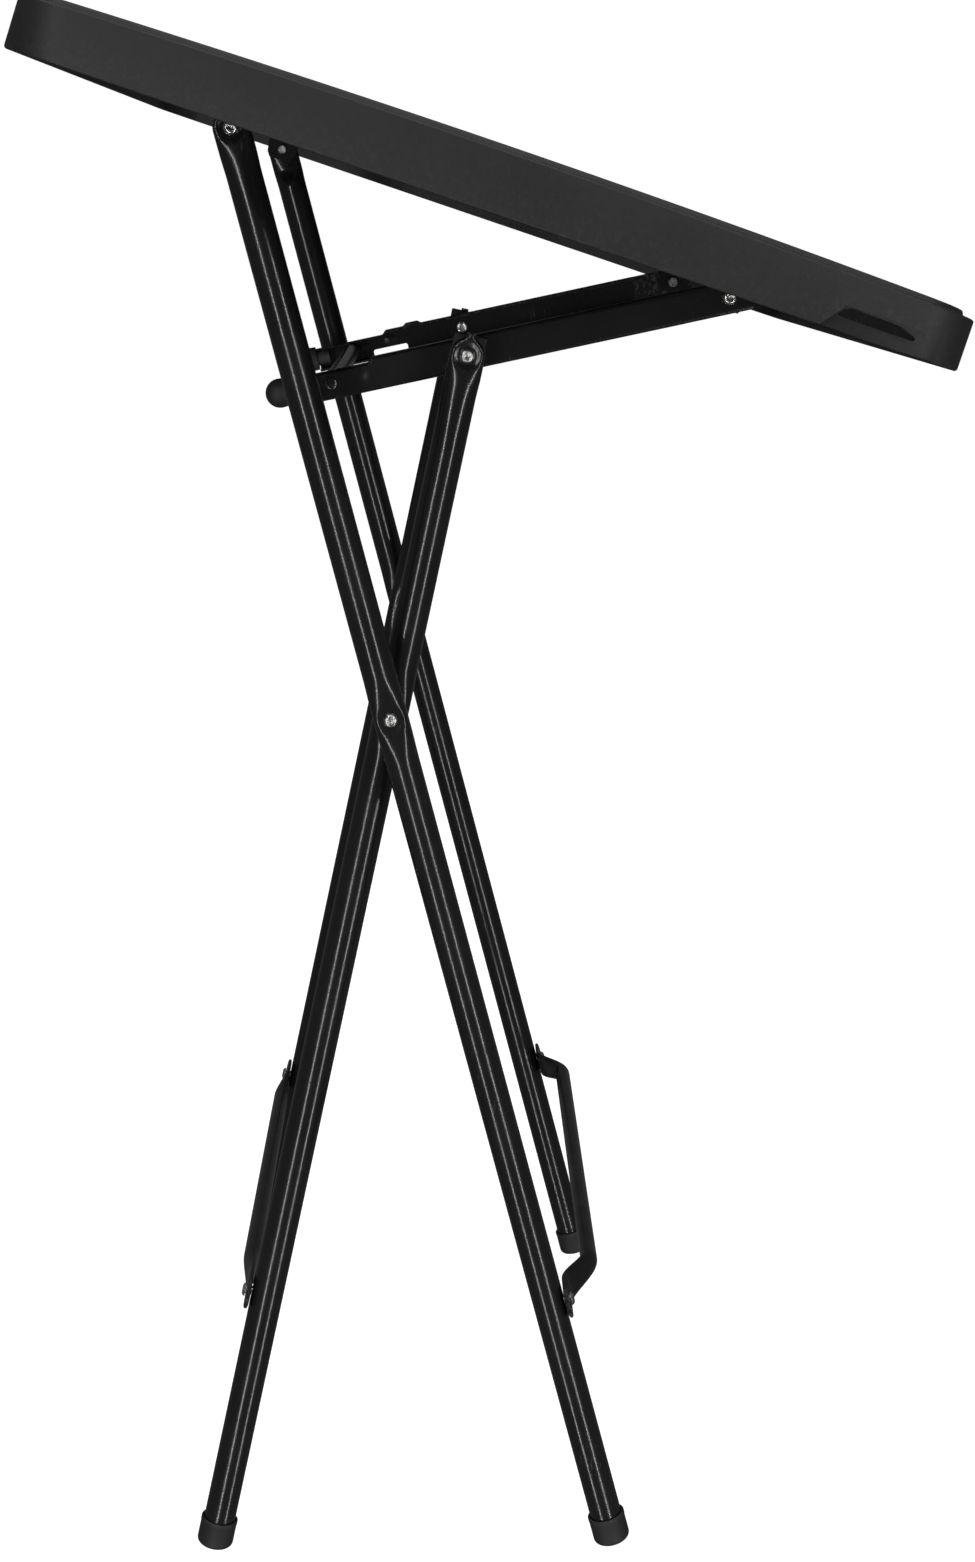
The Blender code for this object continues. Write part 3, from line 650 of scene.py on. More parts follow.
def pressed_tube_tree():
    """A tube along Z, pressed flatter round the crossing at 0 and at its upper end, which is rounded."""
    sizes = ("Foot", "Upper", "Overhang", "Diameter", "Spread", "Crossing Inner", "Crossing Outer")
    sizes += ("End Inner", "End Outer", "End Reach", "End Taper", "Face Taper", "Seat", "Outward")
    tree, given, out = geometry_tree(
        "Pressed Tube", [(s, "Float", 0.01) for s in sizes] + [("Material", "Material", None)]
    )
    size = given.outputs
    top = calc(tree, "ADD", size["Upper"], size["Overhang"])
    low = node(tree, "ShaderNodeCombineXYZ", None, {2: calc(tree, "MULTIPLY", size["Foot"], -1.0)})
    high = node(tree, "ShaderNodeCombineXYZ", None, {2: top})
    ends = {"Start": low.outputs[0], "End": high.outputs[0]}
    line = node(tree, "GeometryNodeCurvePrimitiveLine", None, ends)
    spaced = node(
        tree, "GeometryNodeResampleCurve", {"mode": "LENGTH"}, {"Curve": line.outputs[0], "Length": 0.0016}
    )
    radius = calc(tree, "MULTIPLY", size["Diameter"], 0.5)
    ring = node(tree, "GeometryNodeCurvePrimitiveCircle", None, {"Resolution": 44, "Radius": radius})
    tube = node(
        tree,
        "GeometryNodeCurveToMesh",
        None,
        {"Curve": spaced.outputs[0], "Profile Curve": ring.outputs[0], "Fill Caps": False},
    )
    spot = node(tree, "ShaderNodeSeparateXYZ", None, {0: node(tree, "GeometryNodeInputPosition").outputs[0]})
    x, y, z = spot.outputs
    below = calc(tree, "SUBTRACT", size["Upper"], z)
    away = calc(tree, "ABSOLUTE", z)
    outside = calc(tree, "GREATER_THAN", calc(tree, "MULTIPLY", y, size["Outward"]), 0.0)
    end_stop = calc(tree, "ADD", size["End Reach"], size["End Taper"])
    face_stop = calc(tree, "ADD", size["End Reach"], size["Face Taper"])
    crossing_face = ramp(tree, away, 0.004, 0.026, 1.0, 0.0)
    drops = []
    crossing_back = ramp(tree, away, 0.008, 0.026, 1.0, 0.0)
    for kind, at_crossing, stop in (("Inner", crossing_back, end_stop), ("Outer", crossing_face, face_stop)):
        at_end = ramp(tree, below, size["End Reach"], stop, 1.0, 0.0)
        crossing_drop = calc(tree, "SUBTRACT", size["Diameter"], size["Crossing " + kind])
        end_drop = calc(tree, "SUBTRACT", size["Diameter"], size["End " + kind])
        first = calc(tree, "MULTIPLY", at_crossing, crossing_drop)
        drops.append(calc(tree, "ADD", first, calc(tree, "MULTIPLY", at_end, end_drop)))
    drop = drops[0]
    drop_here = node(
        tree, "ShaderNodeMix", {"data_type": "FLOAT"}, {0: outside, 2: drops[0], 3: drops[1]}
    ).outputs[0]
    half_depth = calc(tree, "MULTIPLY", calc(tree, "SUBTRACT", size["Diameter"], drop_here), 0.5)
    freed = calc(tree, "MULTIPLY", drop, math.pi / 4 - 0.5)
    half_width = calc(tree, "ADD", radius, calc(tree, "MULTIPLY", freed, size["Spread"]))
    flat = calc(tree, "ADD", crossing_face, ramp(tree, below, 0.003, 0.017, 1.0, 0.0))
    power = calc(tree, "SUBTRACT", 1.0, calc(tree, "MULTIPLY", flat, 0.42))
    past = calc(tree, "MAXIMUM", calc(tree, "SUBTRACT", z, size["Upper"]), 0.0)
    share = calc(tree, "MINIMUM", calc(tree, "DIVIDE", past, half_width), 0.97)
    narrowing = calc(tree, "SQRT", calc(tree, "SUBTRACT", 1.0, calc(tree, "MULTIPLY", share, share)))

    def spread(value, half):
        part = calc(tree, "DIVIDE", value, radius)
        grown = calc(tree, "POWER", calc(tree, "ABSOLUTE", part), power)
        return calc(tree, "MULTIPLY", calc(tree, "MULTIPLY", calc(tree, "SIGN", part), grown), half)

    new_x = calc(tree, "MULTIPLY", spread(x, half_width), narrowing)
    plain_y = spread(y, half_depth)
    seats = []
    for centre, deep in ((0.0, 0.0012), (size["Upper"], 0.0019)):
        height = calc(tree, "SUBTRACT", z, centre)
        squares = calc(tree, "ADD", calc(tree, "POWER", height, 2.0), calc(tree, "POWER", new_x, 2.0))
        seats.append(ramp(tree, calc(tree, "SQRT", squares), 0.0045, size["Seat"], deep, 0.0))
    dish = calc(tree, "MULTIPLY", calc(tree, "ADD", *seats), calc(tree, "MULTIPLY", outside, size["Outward"]))
    new_y = calc(tree, "SUBTRACT", plain_y, dish)
    moved = node(tree, "ShaderNodeCombineXYZ", None, {0: new_x, 1: new_y, 2: z})
    shaped = node(
        tree, "GeometryNodeSetPosition", None, {"Geometry": tube.outputs[0], "Position": moved.outputs[0]}
    )
    end_tree(tree, shaped.outputs[0], size["Material"], out)
    return tree


def repeat_tree():
    """A shape set at each point, its Z along the point's facing and its size from the point's scale."""
    tree, given, out = geometry_tree(
        "Repeat On Points", [("Shape", "Object", None), ("Material", "Material", None)]
    )
    shape = node(tree, "GeometryNodeObjectInfo", None, {"Object": given.outputs["Shape"]})
    facing = node(
        tree, "GeometryNodeInputNamedAttribute", {"data_type": "FLOAT_VECTOR"}, {"Name": "facing"}
    )
    spin = node(tree, "GeometryNodeInputNamedAttribute", {"data_type": "FLOAT_VECTOR"}, {"Name": "across"})
    size = node(tree, "GeometryNodeInputNamedAttribute", {"data_type": "FLOAT_VECTOR"}, {"Name": "size"})
    along = node(
        tree, "FunctionNodeAlignRotationToVector", {"axis": "Z"}, {"Vector": facing.outputs[0]}
    )
    turned_to = node(
        tree,
        "FunctionNodeAlignRotationToVector",
        {"axis": "X", "pivot_axis": "Z"},
        {"Rotation": along.outputs[0], "Vector": spin.outputs[0]},
    )
    placed = node(
        tree,
        "GeometryNodeInstanceOnPoints",
        None,
        {
            "Points": given.outputs["Geometry"],
            "Instance": shape.outputs["Geometry"],
            "Rotation": turned_to.outputs[0],
            "Scale": size.outputs[0],
        },
    )
    end_tree(tree, placed.outputs[0], given.outputs["Material"], out)
    return tree


trees = {}


def tree_of(maker):
    if maker not in trees:
        trees[maker] = maker()
    return trees[maker]


def repeated(name, shape, spots, look):
    """Copies of a shape mesh at (place, facing, across, size) spots, as one plain mesh."""
    points = bpy.data.meshes.new(name + "_points")
    points.from_pydata([spot[0] for spot in spots], [], [])
    for key, column in (("facing", 1), ("across", 2), ("size", 3)):
        attribute = points.attributes.new(key, "FLOAT_VECTOR", "POINT")
        attribute.data.foreach_set("vector", [x for spot in spots for x in spot[column]])
    source = helper(name + "_shape", shape)
    made = run_tree(tree_of(repeat_tree), points, name, shape=source, material=look)
    bpy.data.objects.remove(source, do_unlink=True)
    return made


# Fasteners.

UNIT = (1, 1, 1)
SHANK_RADIUS = 0.0025
HEAD_RADIUS = 0.0040
HEAD_HEIGHT = 0.0019


def mark_radius(mesh):
    attribute = mesh.attributes.new("radius", "FLOAT", "POINT")
    attribute.data.foreach_set("value", [v.co.xy.length for v in mesh.vertices])
    return mesh


def rivet_shape(length, tail_radius):
    """A rivet whose head starts at 0: a low dome with a rolled ring round a small hollow."""
    r, h = HEAD_RADIUS, HEAD_HEIGHT
    profile = [(r * 0.06, h * 0.52), (r * 0.20, h * 0.50), (r * 0.30, h * 0.62), (r * 0.40, h * 0.92)]
    profile += [(r * 0.50, h), (r * 0.62, h * 0.97), (r * 0.78, h * 0.80), (r * 0.92, h * 0.48)]
    profile += [(r, h * 0.16), (r * 0.985, 0), (SHANK_RADIUS, 0)]
    if tail_radius:
        profile += [(SHANK_RADIUS, -length), (tail_radius, -length), (tail_radius, -length - 0.0008)]
        profile += [(tail_radius * 0.8, -length - 0.0013)]
    else:
        profile += [(SHANK_RADIUS, -length)]
    return mark_radius(turned("rivet", profile, 36))


def screw_shape():
    """A pan head with a cross recess, bearing face at 0 and the shank above it."""
    radius, depth = 0.0042, 0.0022
    profile = [(radius * 0.1, -depth)] + arc((radius - 0.0016, -depth + 0.0016), 0.0016, 270, 350, 6)
    profile += [(radius, -0.0002), (radius * 0.98, 0), (0.0019, 0), (0.0019, 0.006)]
    head = turned("screw", profile, 36)
    slots = []
    for wide, narrow in ((0.0023, 0.00042), (0.00042, 0.0023)):
        slots.append(("DIFFERENCE", box("slot", (-wide, -narrow, -0.004), (wide, narrow, -depth + 0.0011))))
    return mark_radius(cut(head, slots))


def nut_shape(height):
    """A hexagon nut with turned corners, sitting from 0 up."""
    radius, bore = 0.0054, 0.0028
    body = turned("nut", [(radius, 0), (radius, height), (bore, height), (bore, 0)], 6, around=True)
    corners = [(radius * 0.88, 0), (radius * 1.02, radius * 0.10)]
    cone = turned("cone", corners + [(r, height - z) for r, z in reversed(corners)], 48)
    return mark_radius(cut(body, [("INTERSECT", cone)]))


def along_y(node_name):
    """(where the head starts, its facing, length below the head) of a rivet whose axis is along Y."""
    low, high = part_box(node_name)
    side = 1 if low.y > 0 else -1
    outer, inner = (high.y, low.y) if side > 0 else (low.y, high.y)
    head = Vector(((low.x + high.x) / 2, outer - side * HEAD_HEIGHT, (low.z + high.z) / 2))
    return head, Vector((0, side, 0)), abs(outer - inner) - HEAD_HEIGHT


def rivet_rows(name, body, stems, tail_radius):
    """Rivets across the table, near and far, as one piece."""
    nodes = [f"{stem}_{side}" for stem in stems for side in SIDES]
    meshes = []
    for stem in stems:
        spots = [along_y(f"{stem}_{side}") for side in SIDES]
        tail = 0.0013 if tail_radius else 0
        shape = rivet_shape(spots[0][2] - tail, tail_radius)
        rows = [(place, facing, Vector((1, 0, 0)), UNIT) for place, facing, _ in spots]
        meshes.append(repeated(name, shape, rows, look_of("bright_steel")))
    mesh = joined(name, meshes)
    add_piece(name, mesh, body, look_of("bright_steel"), nodes, placed=True)


class TABLE_OT_fasteners(bpy.types.Operator):
    """Make the rivets, bolts, nuts and screws"""

    bl_idname = "folding_table.fasteners"
    bl_label = "Fasteners"

    def execute(self, context):
        tube = context.scene.folding_tubes
        rivet_rows("top_rivets", "top", ["top_rivet"], SHANK_RADIUS * 1.15)
        rivet_rows("leg_end_rivets", "inner_frame", ["leg_rivet"], 0)
        rivet_rows("rail_pivot_rivets", "rails", ["rail_rivet"], HEAD_RADIUS * 0.8)
        rivet_rows("crossing_bolts", "outer_frame", ["crossing_bolt"], 0)
        self.brace_rivets(tube)
        self.nuts()
        self.screws(context.scene.folding_top)
        self.studs()
        return {"FINISHED"}

    def brace_rivets(self, tube):
        face = tube.diameter / 2 + tube.brace_flat + 2 * GAP
        for kind, y, direction in (("outer", OUTER_Y, 1), ("inner", INNER_Y, -1)):
            body = f"{kind}_frame"
            matrix = FRAMES[body]
            rows = []
            for side in SIDES.values():
                place = matrix @ Vector((direction * face, side * y, -tube.brace_drop))
                rows.append((place, matrix.to_3x3() @ Vector((direction, 0, 0)), (0, 1, 0), UNIT))
            shape = rivet_shape(0.006, 0)
            mesh = repeated(f"{kind}_brace_rivets", shape, rows, look_of("bright_steel"))
            nodes = [f"{kind}_brace_rivet_{side}" for side in SIDES]
            add_piece(mesh.name, mesh, body, look_of("bright_steel"), nodes, placed=True)

    def nuts(self):
        rows = []
        for label, side in SIDES.items():
            low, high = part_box(f"crossing_nut_{label}")
            inner = low.y if side > 0 else high.y
            height = high.y - low.y
            place = (middle_of(f"crossing_nut_{label}").x, inner, middle_of(f"crossing_nut_{label}").z)
            rows.append((place, (0, side, 0), (1, 0, 0), UNIT))
        mesh = repeated("crossing_nuts", nut_shape(height), rows, look_of("bright_steel"))
        nodes = [f"crossing_nut_{side}" for side in SIDES]
        add_piece(mesh.name, mesh, "outer_frame", look_of("bright_steel"), nodes, placed=True)

    def screws(self, top):
        matrix = FRAMES["top"]
        up = matrix.to_3x3() @ Vector((0, 0, 1))
        rows, nodes = [], []
        under = top.height - top.plate - 2 * GAP - 0.002
        for kind in ("leg", "rail"):
            for label in SIDES:
                for number in (1, 2):
                    name = f"{kind}_screw_{label}_{number}"
                    spot = matrix.inverted() @ middle_of(name)
                    place = matrix @ Vector((spot.x, spot.y, under))
                    spin = Vector((math.cos(len(rows) * 1.3), math.sin(len(rows) * 1.3), 0))
                    rows.append((place, up, matrix.to_3x3() @ spin, UNIT))
                    nodes.append(name)
        mesh = repeated("bracket_screws", screw_shape(), rows, look_of("bright_steel"))
        add_piece(mesh.name, mesh, "top", look_of("bright_steel"), nodes, placed=True)

    def studs(self):
        rows = []
        for label, side in SIDES.items():
            low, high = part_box(f"rail_stud_{label}")
            outer = high.y if side > 0 else low.y
            middle = middle_of(f"rail_stud_{label}")
            rows.append(((middle.x, outer, middle.z), (0, -side, 0), (1, 0, 0), UNIT))
        thick = high.y - low.y
        r = HEAD_RADIUS * 0.9
        profile = [(SHANK_RADIUS, 0), (SHANK_RADIUS, thick - 0.0016), (r, thick - 0.0016)]
        profile += [(r, thick - 0.0009), (r * 0.9, thick - 0.0003), (r * 0.7, thick)]
        profile += [(r * 0.45, thick - 0.0002), (r * 0.3, thick - 0.0009)]
        shape = mark_radius(turned("stud", profile, 36))
        mesh = repeated("rail_studs", shape, rows, look_of("bright_steel"))
        nodes = [f"rail_stud_{side}" for side in SIDES]
        add_piece(mesh.name, mesh, "rails", look_of("bright_steel"), nodes, placed=True)


# Legs.


class TABLE_OT_legs(bpy.types.Operator):
    """Make the four leg tubes, pressed where they cross and at their upper ends"""

    bl_idname = "folding_table.legs"
    bl_label = "Legs"

    def execute(self, context):
        tube = context.scene.folding_tubes
        for kind, y, upper in (("outer", OUTER_Y, OUTER_UPPER), ("inner", INNER_Y, INNER_UPPER)):
            lower = (mount_spot(f"{kind}_foot_near") - CROSSING) * Vector((1, 0, 1))
            for label, side in SIDES.items():
                name = f"{kind}_tube_{label}"
                mesh = run_tree(
                    tree_of(pressed_tube_tree),
                    bpy.data.meshes.new(name),
                    name,
                    foot=lower.length - 0.0038,
                    upper=upper,
                    overhang=tube.overhang,
                    diameter=tube.diameter,
                    crossing_inner=tube.crossing_inner,
                    crossing_outer=tube.crossing_outer,
                    end_inner=tube.end_inner,
                    end_outer=tube.end_outer,
                    spread=tube.spread,
                    seat=tube.seat,
                    end_reach=getattr(tube, f"{kind}_reach"),
                    end_taper=tube.end_taper,
                    face_taper=tube.face_taper,
                    outward=float(side),
                    material=look_of("black_steel"),
                )
                mesh.transform(Matrix.Translation((0, side * y, 0)))
                mesh = self.walled(mesh, tube.wall)
                nodes = [f"{kind}_leg_{label}"]
                add_piece(name, mesh, f"{kind}_frame", look_of("black_steel"), nodes)
        return {"FINISHED"}

    def walled(self, mesh, wall):
        """Turns the open skin into a tube with a wall and an open upper end."""
        obj = helper("wall", mesh)
        modifier = obj.modifiers.new("wall", "SOLIDIFY")
        modifier.thickness = wall
        modifier.offset = -1
        return evaluated(obj, mesh.name)


class TABLE_OT_foot_caps(bpy.types.Operator):
    """Make the plastic caps on the legs' feet"""

    bl_idname = "folding_table.foot_caps"
    bl_label = "Foot Caps"

    def execute(self, context):
        tube = context.scene.folding_tubes
        bore = tube.diameter / 2 + GAP
        radius = bore + 0.0011
        edge = 0.0028
        profile = [(0.0004, 0.0004), (radius * 0.45, 0.0003), (radius * 0.5, 0)]
        profile += arc((radius - edge, edge), edge, 270, 360, 8)
        profile += [(radius, tube.cap_height - 0.0030), (radius + 0.0002, tube.cap_height - 0.0026)]
        profile += [(radius + 0.0002, tube.cap_height - 0.0007), (radius - 0.0002, tube.cap_height - 0.0002)]
        profile += [(radius - 0.0006, tube.cap_height), (bore, tube.cap_height - 0.0003), (bore, 0.0035)]
        for kind, y in (("outer", OUTER_Y), ("inner", INNER_Y)):
            lower = ((mount_spot(f"{kind}_foot_near") - CROSSING) * Vector((1, 0, 1))).length
            for label, side in SIDES.items():
                name = f"{kind}_foot_{label}"
                mesh = turned(name, profile, 56)
                mesh.transform(Matrix.Translation((0, side * y, -lower)))
                nodes = [f"{kind}_foot_cap_{label}"]
                add_piece(name, mesh, f"{kind}_frame", look_of("cap_plastic"), nodes)
        return {"FINISHED"}


class TABLE_OT_braces(bpy.types.Operator):
    """Make the two braces, tubes with flattened ends bent out between the legs"""

    bl_idname = "folding_table.braces"
    bl_label = "Braces"

    def execute(self, context):
        tube = context.scene.folding_tubes
        for kind, y, direction in (("outer", OUTER_Y, 1), ("inner", INNER_Y, -1)):
            reach = getattr(tube, f"{kind}_brace_reach")
            mesh = self.brace_mesh(f"{kind}_brace_tube", tube, y, direction, reach)
            nodes = [f"{kind}_brace"]
            add_piece(mesh.name, mesh, f"{kind}_frame", look_of("black_steel"), nodes)
        return {"FINISHED"}

    def brace_path(self, tube, y, reach):
        """(y, offset, how flat) along the brace."""
        face = tube.diameter / 2 + GAP + tube.brace_flat / 2
        tab = y - 0.010
        path = [(y + 0.0085, face, 1), (y + 0.006, face, 1), (y, face, 1), (tab, face, 1)]
        steps = 30
        for i in range(1, steps + 1):
            share = i / steps
            ease = smooth_step(share)
            path.append((tab - 0.036 * share, face + (reach - face) * ease, 1 - ease))
        return path + [(-at, offset, flat) for at, offset, flat in reversed(path)]

    def brace_mesh(self, name, tube, y, direction, reach):
        path = self.brace_path(tube, y, reach)
        rings = []
        for i, (at, offset, flat) in enumerate(path):
            before, after = path[max(i - 1, 0)], path[min(i + 1, len(path) - 1)]
            along = Vector((after[1] - before[1], after[0] - before[0])).normalized()
            half_width = (tube.brace_width + (tube.brace_flat - tube.brace_width) * flat) / 2
            half_depth = (tube.brace_depth + (tube.brace_flat_depth - tube.brace_depth) * flat) / 2
            power = 1 - 0.45 * flat
            shorter = 0.8 if i in (0, len(path) - 1) else 1
            ring = []
            for k in range(40):
                turn = 2 * math.pi * k / 40
                across = half_width * math.copysign(abs(math.cos(turn)) ** power, math.cos(turn))
                tall = half_depth * shorter * math.copysign(abs(math.sin(turn)) ** power, math.sin(turn))
                x = direction * (offset - along.y * across)
                ring.append(Vector((x, at + along.x * across, -tube.brace_drop + tall)))
            rings.append(ring)
        return loft(name, rings)


# Rails. Lengths along a rail run from the inner leg's pivot towards the capped end.

RAIL_HEAD = 0.0115  # length beyond the pivot at the top
FLANGE_GAP = 0.0255  # length at the top without flanges, where the bracket goes
STEP_START, STEP_RUN = 0.0495, 0.0035
BUMP_START, BUMP_STOP, BUMP_RUN, BUMP_HEIGHT = 0.0255, 0.0385, 0.003, 0.0017
SLOT_MIDDLE = 0.049


class TABLE_OT_rails(bpy.types.Operator):
    """Make the two channel rails, their end caps and the bar between them"""

    bl_idname = "folding_table.rails"
    bl_label = "Rails"

    def execute(self, context):
        sizes = context.scene.folding_rails
        for label, side in SIDES.items():
            mesh = self.channel(f"rail_channel_{label}", sizes, side)
            nodes = [f"rail_{label}"]
            add_piece(mesh.name, mesh, "rails", look_of("black_steel"), nodes)
            mesh = self.cap(f"rail_end_{label}", sizes, side)
            nodes = [f"rail_cap_{label}"]
            add_piece(mesh.name, mesh, "rails", look_of("cap_plastic"), nodes)
        mesh = self.bar(sizes)
        add_piece("rail_bar", mesh, "rails", look_of("black_steel"), ["cross_bar"])
        return {"FINISHED"}

    def outline(self, sizes):
        """The channel's closed section as (depth, height) pairs."""
        half, sheet, depth = sizes.height / 2, sizes.sheet, sizes.depth
        outer = sheet * 1.35
        inner = outer - sheet
        rows = 26
        web = [(-half + outer) + 2 * (half - outer) * i / rows for i in range(1, rows)]
        corner_out = arc((outer, half - outer), outer, 180, 90, 6)
        lip = [(depth - 0.0005, half), (depth, half - 0.0005)]
        lip += [(depth, half - sheet + 0.0005), (depth - 0.0005, half - sheet)]
        corner_in = arc((outer, half - outer), inner, 90, 180, 4)
        top = corner_out + lip + corner_in
        under = [(d, -z) for d, z in reversed(top)]
        return [(0, z) for z in web] + top + [(sheet, z) for z in reversed(web)] + under

    def channel(self, name, sizes, side):
        outline = self.outline(sizes)
        start, stop = -RAIL_REACH - sizes.tail, RAIL_HEAD
        half = sizes.height / 2
        count = 360
        rings = []
        for i in range(count + 1):
            x = start + (stop - start) * i / count
            from_leg = -RAIL_REACH - x
            set_down = sizes.step * smooth_step((from_leg - STEP_START) / STEP_RUN)
            bump = BUMP_HEIGHT * smooth_step((from_leg - BUMP_START) / BUMP_RUN)
            bump *= smooth_step((BUMP_STOP - from_leg) / BUMP_RUN)
            ring = []
            for depth, z in outline:
                inward = depth + self.pressing(from_leg, z, side)
                upper = smooth_step((z - half * 0.45) / (half * 0.5))
                raised = z - set_down * upper + (bump if side > 0 else 0) * upper
                ring.append(Vector((x, side * (RAIL_Y - inward), raised)))
            rings.append(ring)
        mesh = loft(name, rings)
        middle = side * RAIL_Y
        low_y, high_y = sorted((side * (RAIL_Y - sizes.sheet * 0.98), side * (RAIL_Y - sizes.depth - 0.002)))
        tools = [("DIFFERENCE", box("trim", (-FLANGE_GAP, low_y, -0.02), (stop + 0.002, high_y, 0.02)))]
        if side > 0:
            outline = self.window(-RAIL_REACH - SLOT_MIDDLE)
            window = prism("slot", outline, middle - 0.004, middle + 0.004)
            tools.append(("DIFFERENCE", window))
        return cut(mesh, tools)

    def window(self, middle):
        """The slot's outline, long along the rail, with rounded corners."""
        long, tall, radius, height = 0.0115, 0.0022, 0.0015, -0.0048
        outline = []
        for x, z, start in ((1, -1, -90), (1, 1, 0), (-1, 1, 90), (-1, -1, 180)):
            centre = (middle + x * (long - radius), height + z * (tall - radius))
            outline += arc(centre, radius, start, start + 90, 5)
        return outline

    def pressing(self, from_leg, z, side):
        """How far the web is pressed in by its ovals, each (place, height, half length, half height)."""
        dimples = ((0.0583, 0.0004, 0.0062, 0.0050),)
        if side > 0:
            dimples = ((0.0675, 0.0, 0.0085, 0.0040), (0.0478, 0.0018, 0.0056, 0.0040))
        total = 0
        for centre, height, reach, tall in dimples:
            away = math.hypot((from_leg - centre) / reach, (z - height) / tall)
            total += 0.0006 * smooth_step(1 - away)
        return total

    def cap(self, name, sizes, side):
        radius = sizes.cap_radius
        face = radius * 0.6
        neck = sizes.depth / 2 - sizes.sheet / 2 - GAP
        profile = [(radius * 0.02, -radius)]
        for i in range(1, 15):
            turn = math.radians(96 * i / 14)
            profile.append((radius * math.sin(turn), -radius * math.cos(turn)))
        profile += [(radius * 0.97, face - 0.0006), (radius * 0.92, face), (neck, face), (neck, face + 0.008)]
        mesh = turned(name, profile, 48)
        x = -RAIL_REACH - sizes.tail - face - GAP
        y = side * (RAIL_Y - sizes.sheet - GAP - (sizes.depth - sizes.sheet) / 2)
        mesh.transform(Matrix.Translation((x, y, 0)) @ Matrix.Rotation(QUARTER, 4, "Y"))
        return mesh

    def bar(self, sizes):
        face = RAIL_Y - sizes.sheet - GAP
        tip, thick = RAIL_Y + 0.0014, sizes.bar_radius
        thin = thick * 0.7
        half = [(thin * 0.02, tip), (thin * 0.7, tip), (thin, tip - 0.0006), (thin, face)]
        half += [(thick - 0.0004, face), (thick, face - 0.0004)]
        profile = [(r, -z) for r, z in half] + [(r, z) for r, z in reversed(half)]
        mesh = turned("rail_bar", profile, 36)
        x = -RAIL_REACH - sizes.tail + sizes.bar_setback
        mesh.transform(Matrix.Translation((x, 0, 0)) @ Matrix.Rotation(-QUARTER, 4, "X"))
        return mesh


class TABLE_OT_blocks(bpy.types.Operator):
    """Make the blocks beside the inner legs' ends and the crossing spacers, and coat the brackets"""

    bl_idname = "folding_table.blocks"
    bl_label = "Blocks and Brackets"

    def execute(self, context):
        tube = context.scene.folding_tubes
        half = tube.diameter / 2 * 0.95
        look = look_of("cap_plastic")
        for label in SIDES:
            low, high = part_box(f"leg_end_block_{label}")
            mesh = box(
                f"leg_block_{label}",
                (-half, low.y, INNER_UPPER - 0.0090),
                (half, high.y, INNER_UPPER + 0.0104),
            )
            nodes = [f"leg_end_block_{label}"]
            mesh = bevelled(mesh, 0.0007)
            add_piece(mesh.name, mesh, "inner_frame", look, nodes)
            low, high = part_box(f"crossing_spacer_{label}")
            thick, radius, bore = high.y - low.y, 0.0068, 0.0028
            profile = [(bore, 0), (radius - 0.0005, 0), (radius, 0.0005), (radius, thick - 0.0005)]
            profile += [(radius - 0.0005, thick), (bore, thick)]
            mesh = turned(f"spacer_{label}", profile, 44, around=True)
            place = Matrix.Translation((CROSSING.x, low.y, CROSSING.z))
            mesh.transform(place @ Matrix.Rotation(-QUARTER, 4, "X"))
            nodes = [f"crossing_spacer_{label}"]
            add_piece(mesh.name, mesh, "outer_frame", look, nodes, placed=True)
            for kind in ("leg", "rail"):
                self.bracket(kind, label)
        return {"FINISHED"}

    def bracket(self, kind, label):
        """The bracket with its plate drawn in towards the pivot and its edges rounded."""
        spot = {"leg": Vector((0, 0, 0)), "rail": Vector((PIVOT_SPAN, 0, 0))}[kind]
        mesh = frame["nodes"][f"{kind}_bracket_{label}"].data.copy()
        mesh.transform(FRAMES["top"].inverted())
        for vert in mesh.vertices:
            share = smooth_step((0.016 - vert.co.z) / 0.016)
            vert.co.x = spot.x + (vert.co.x - spot.x) * (1 - 0.30 * share)
        mesh = bevelled(mesh, 0.00045, 2, 40)
        mesh.name = f"{kind}_plate_{label}"
        nodes = [f"{kind}_bracket_{label}"]
        add_piece(mesh.name, mesh, "top", look_of("black_steel"), nodes)


# The top.


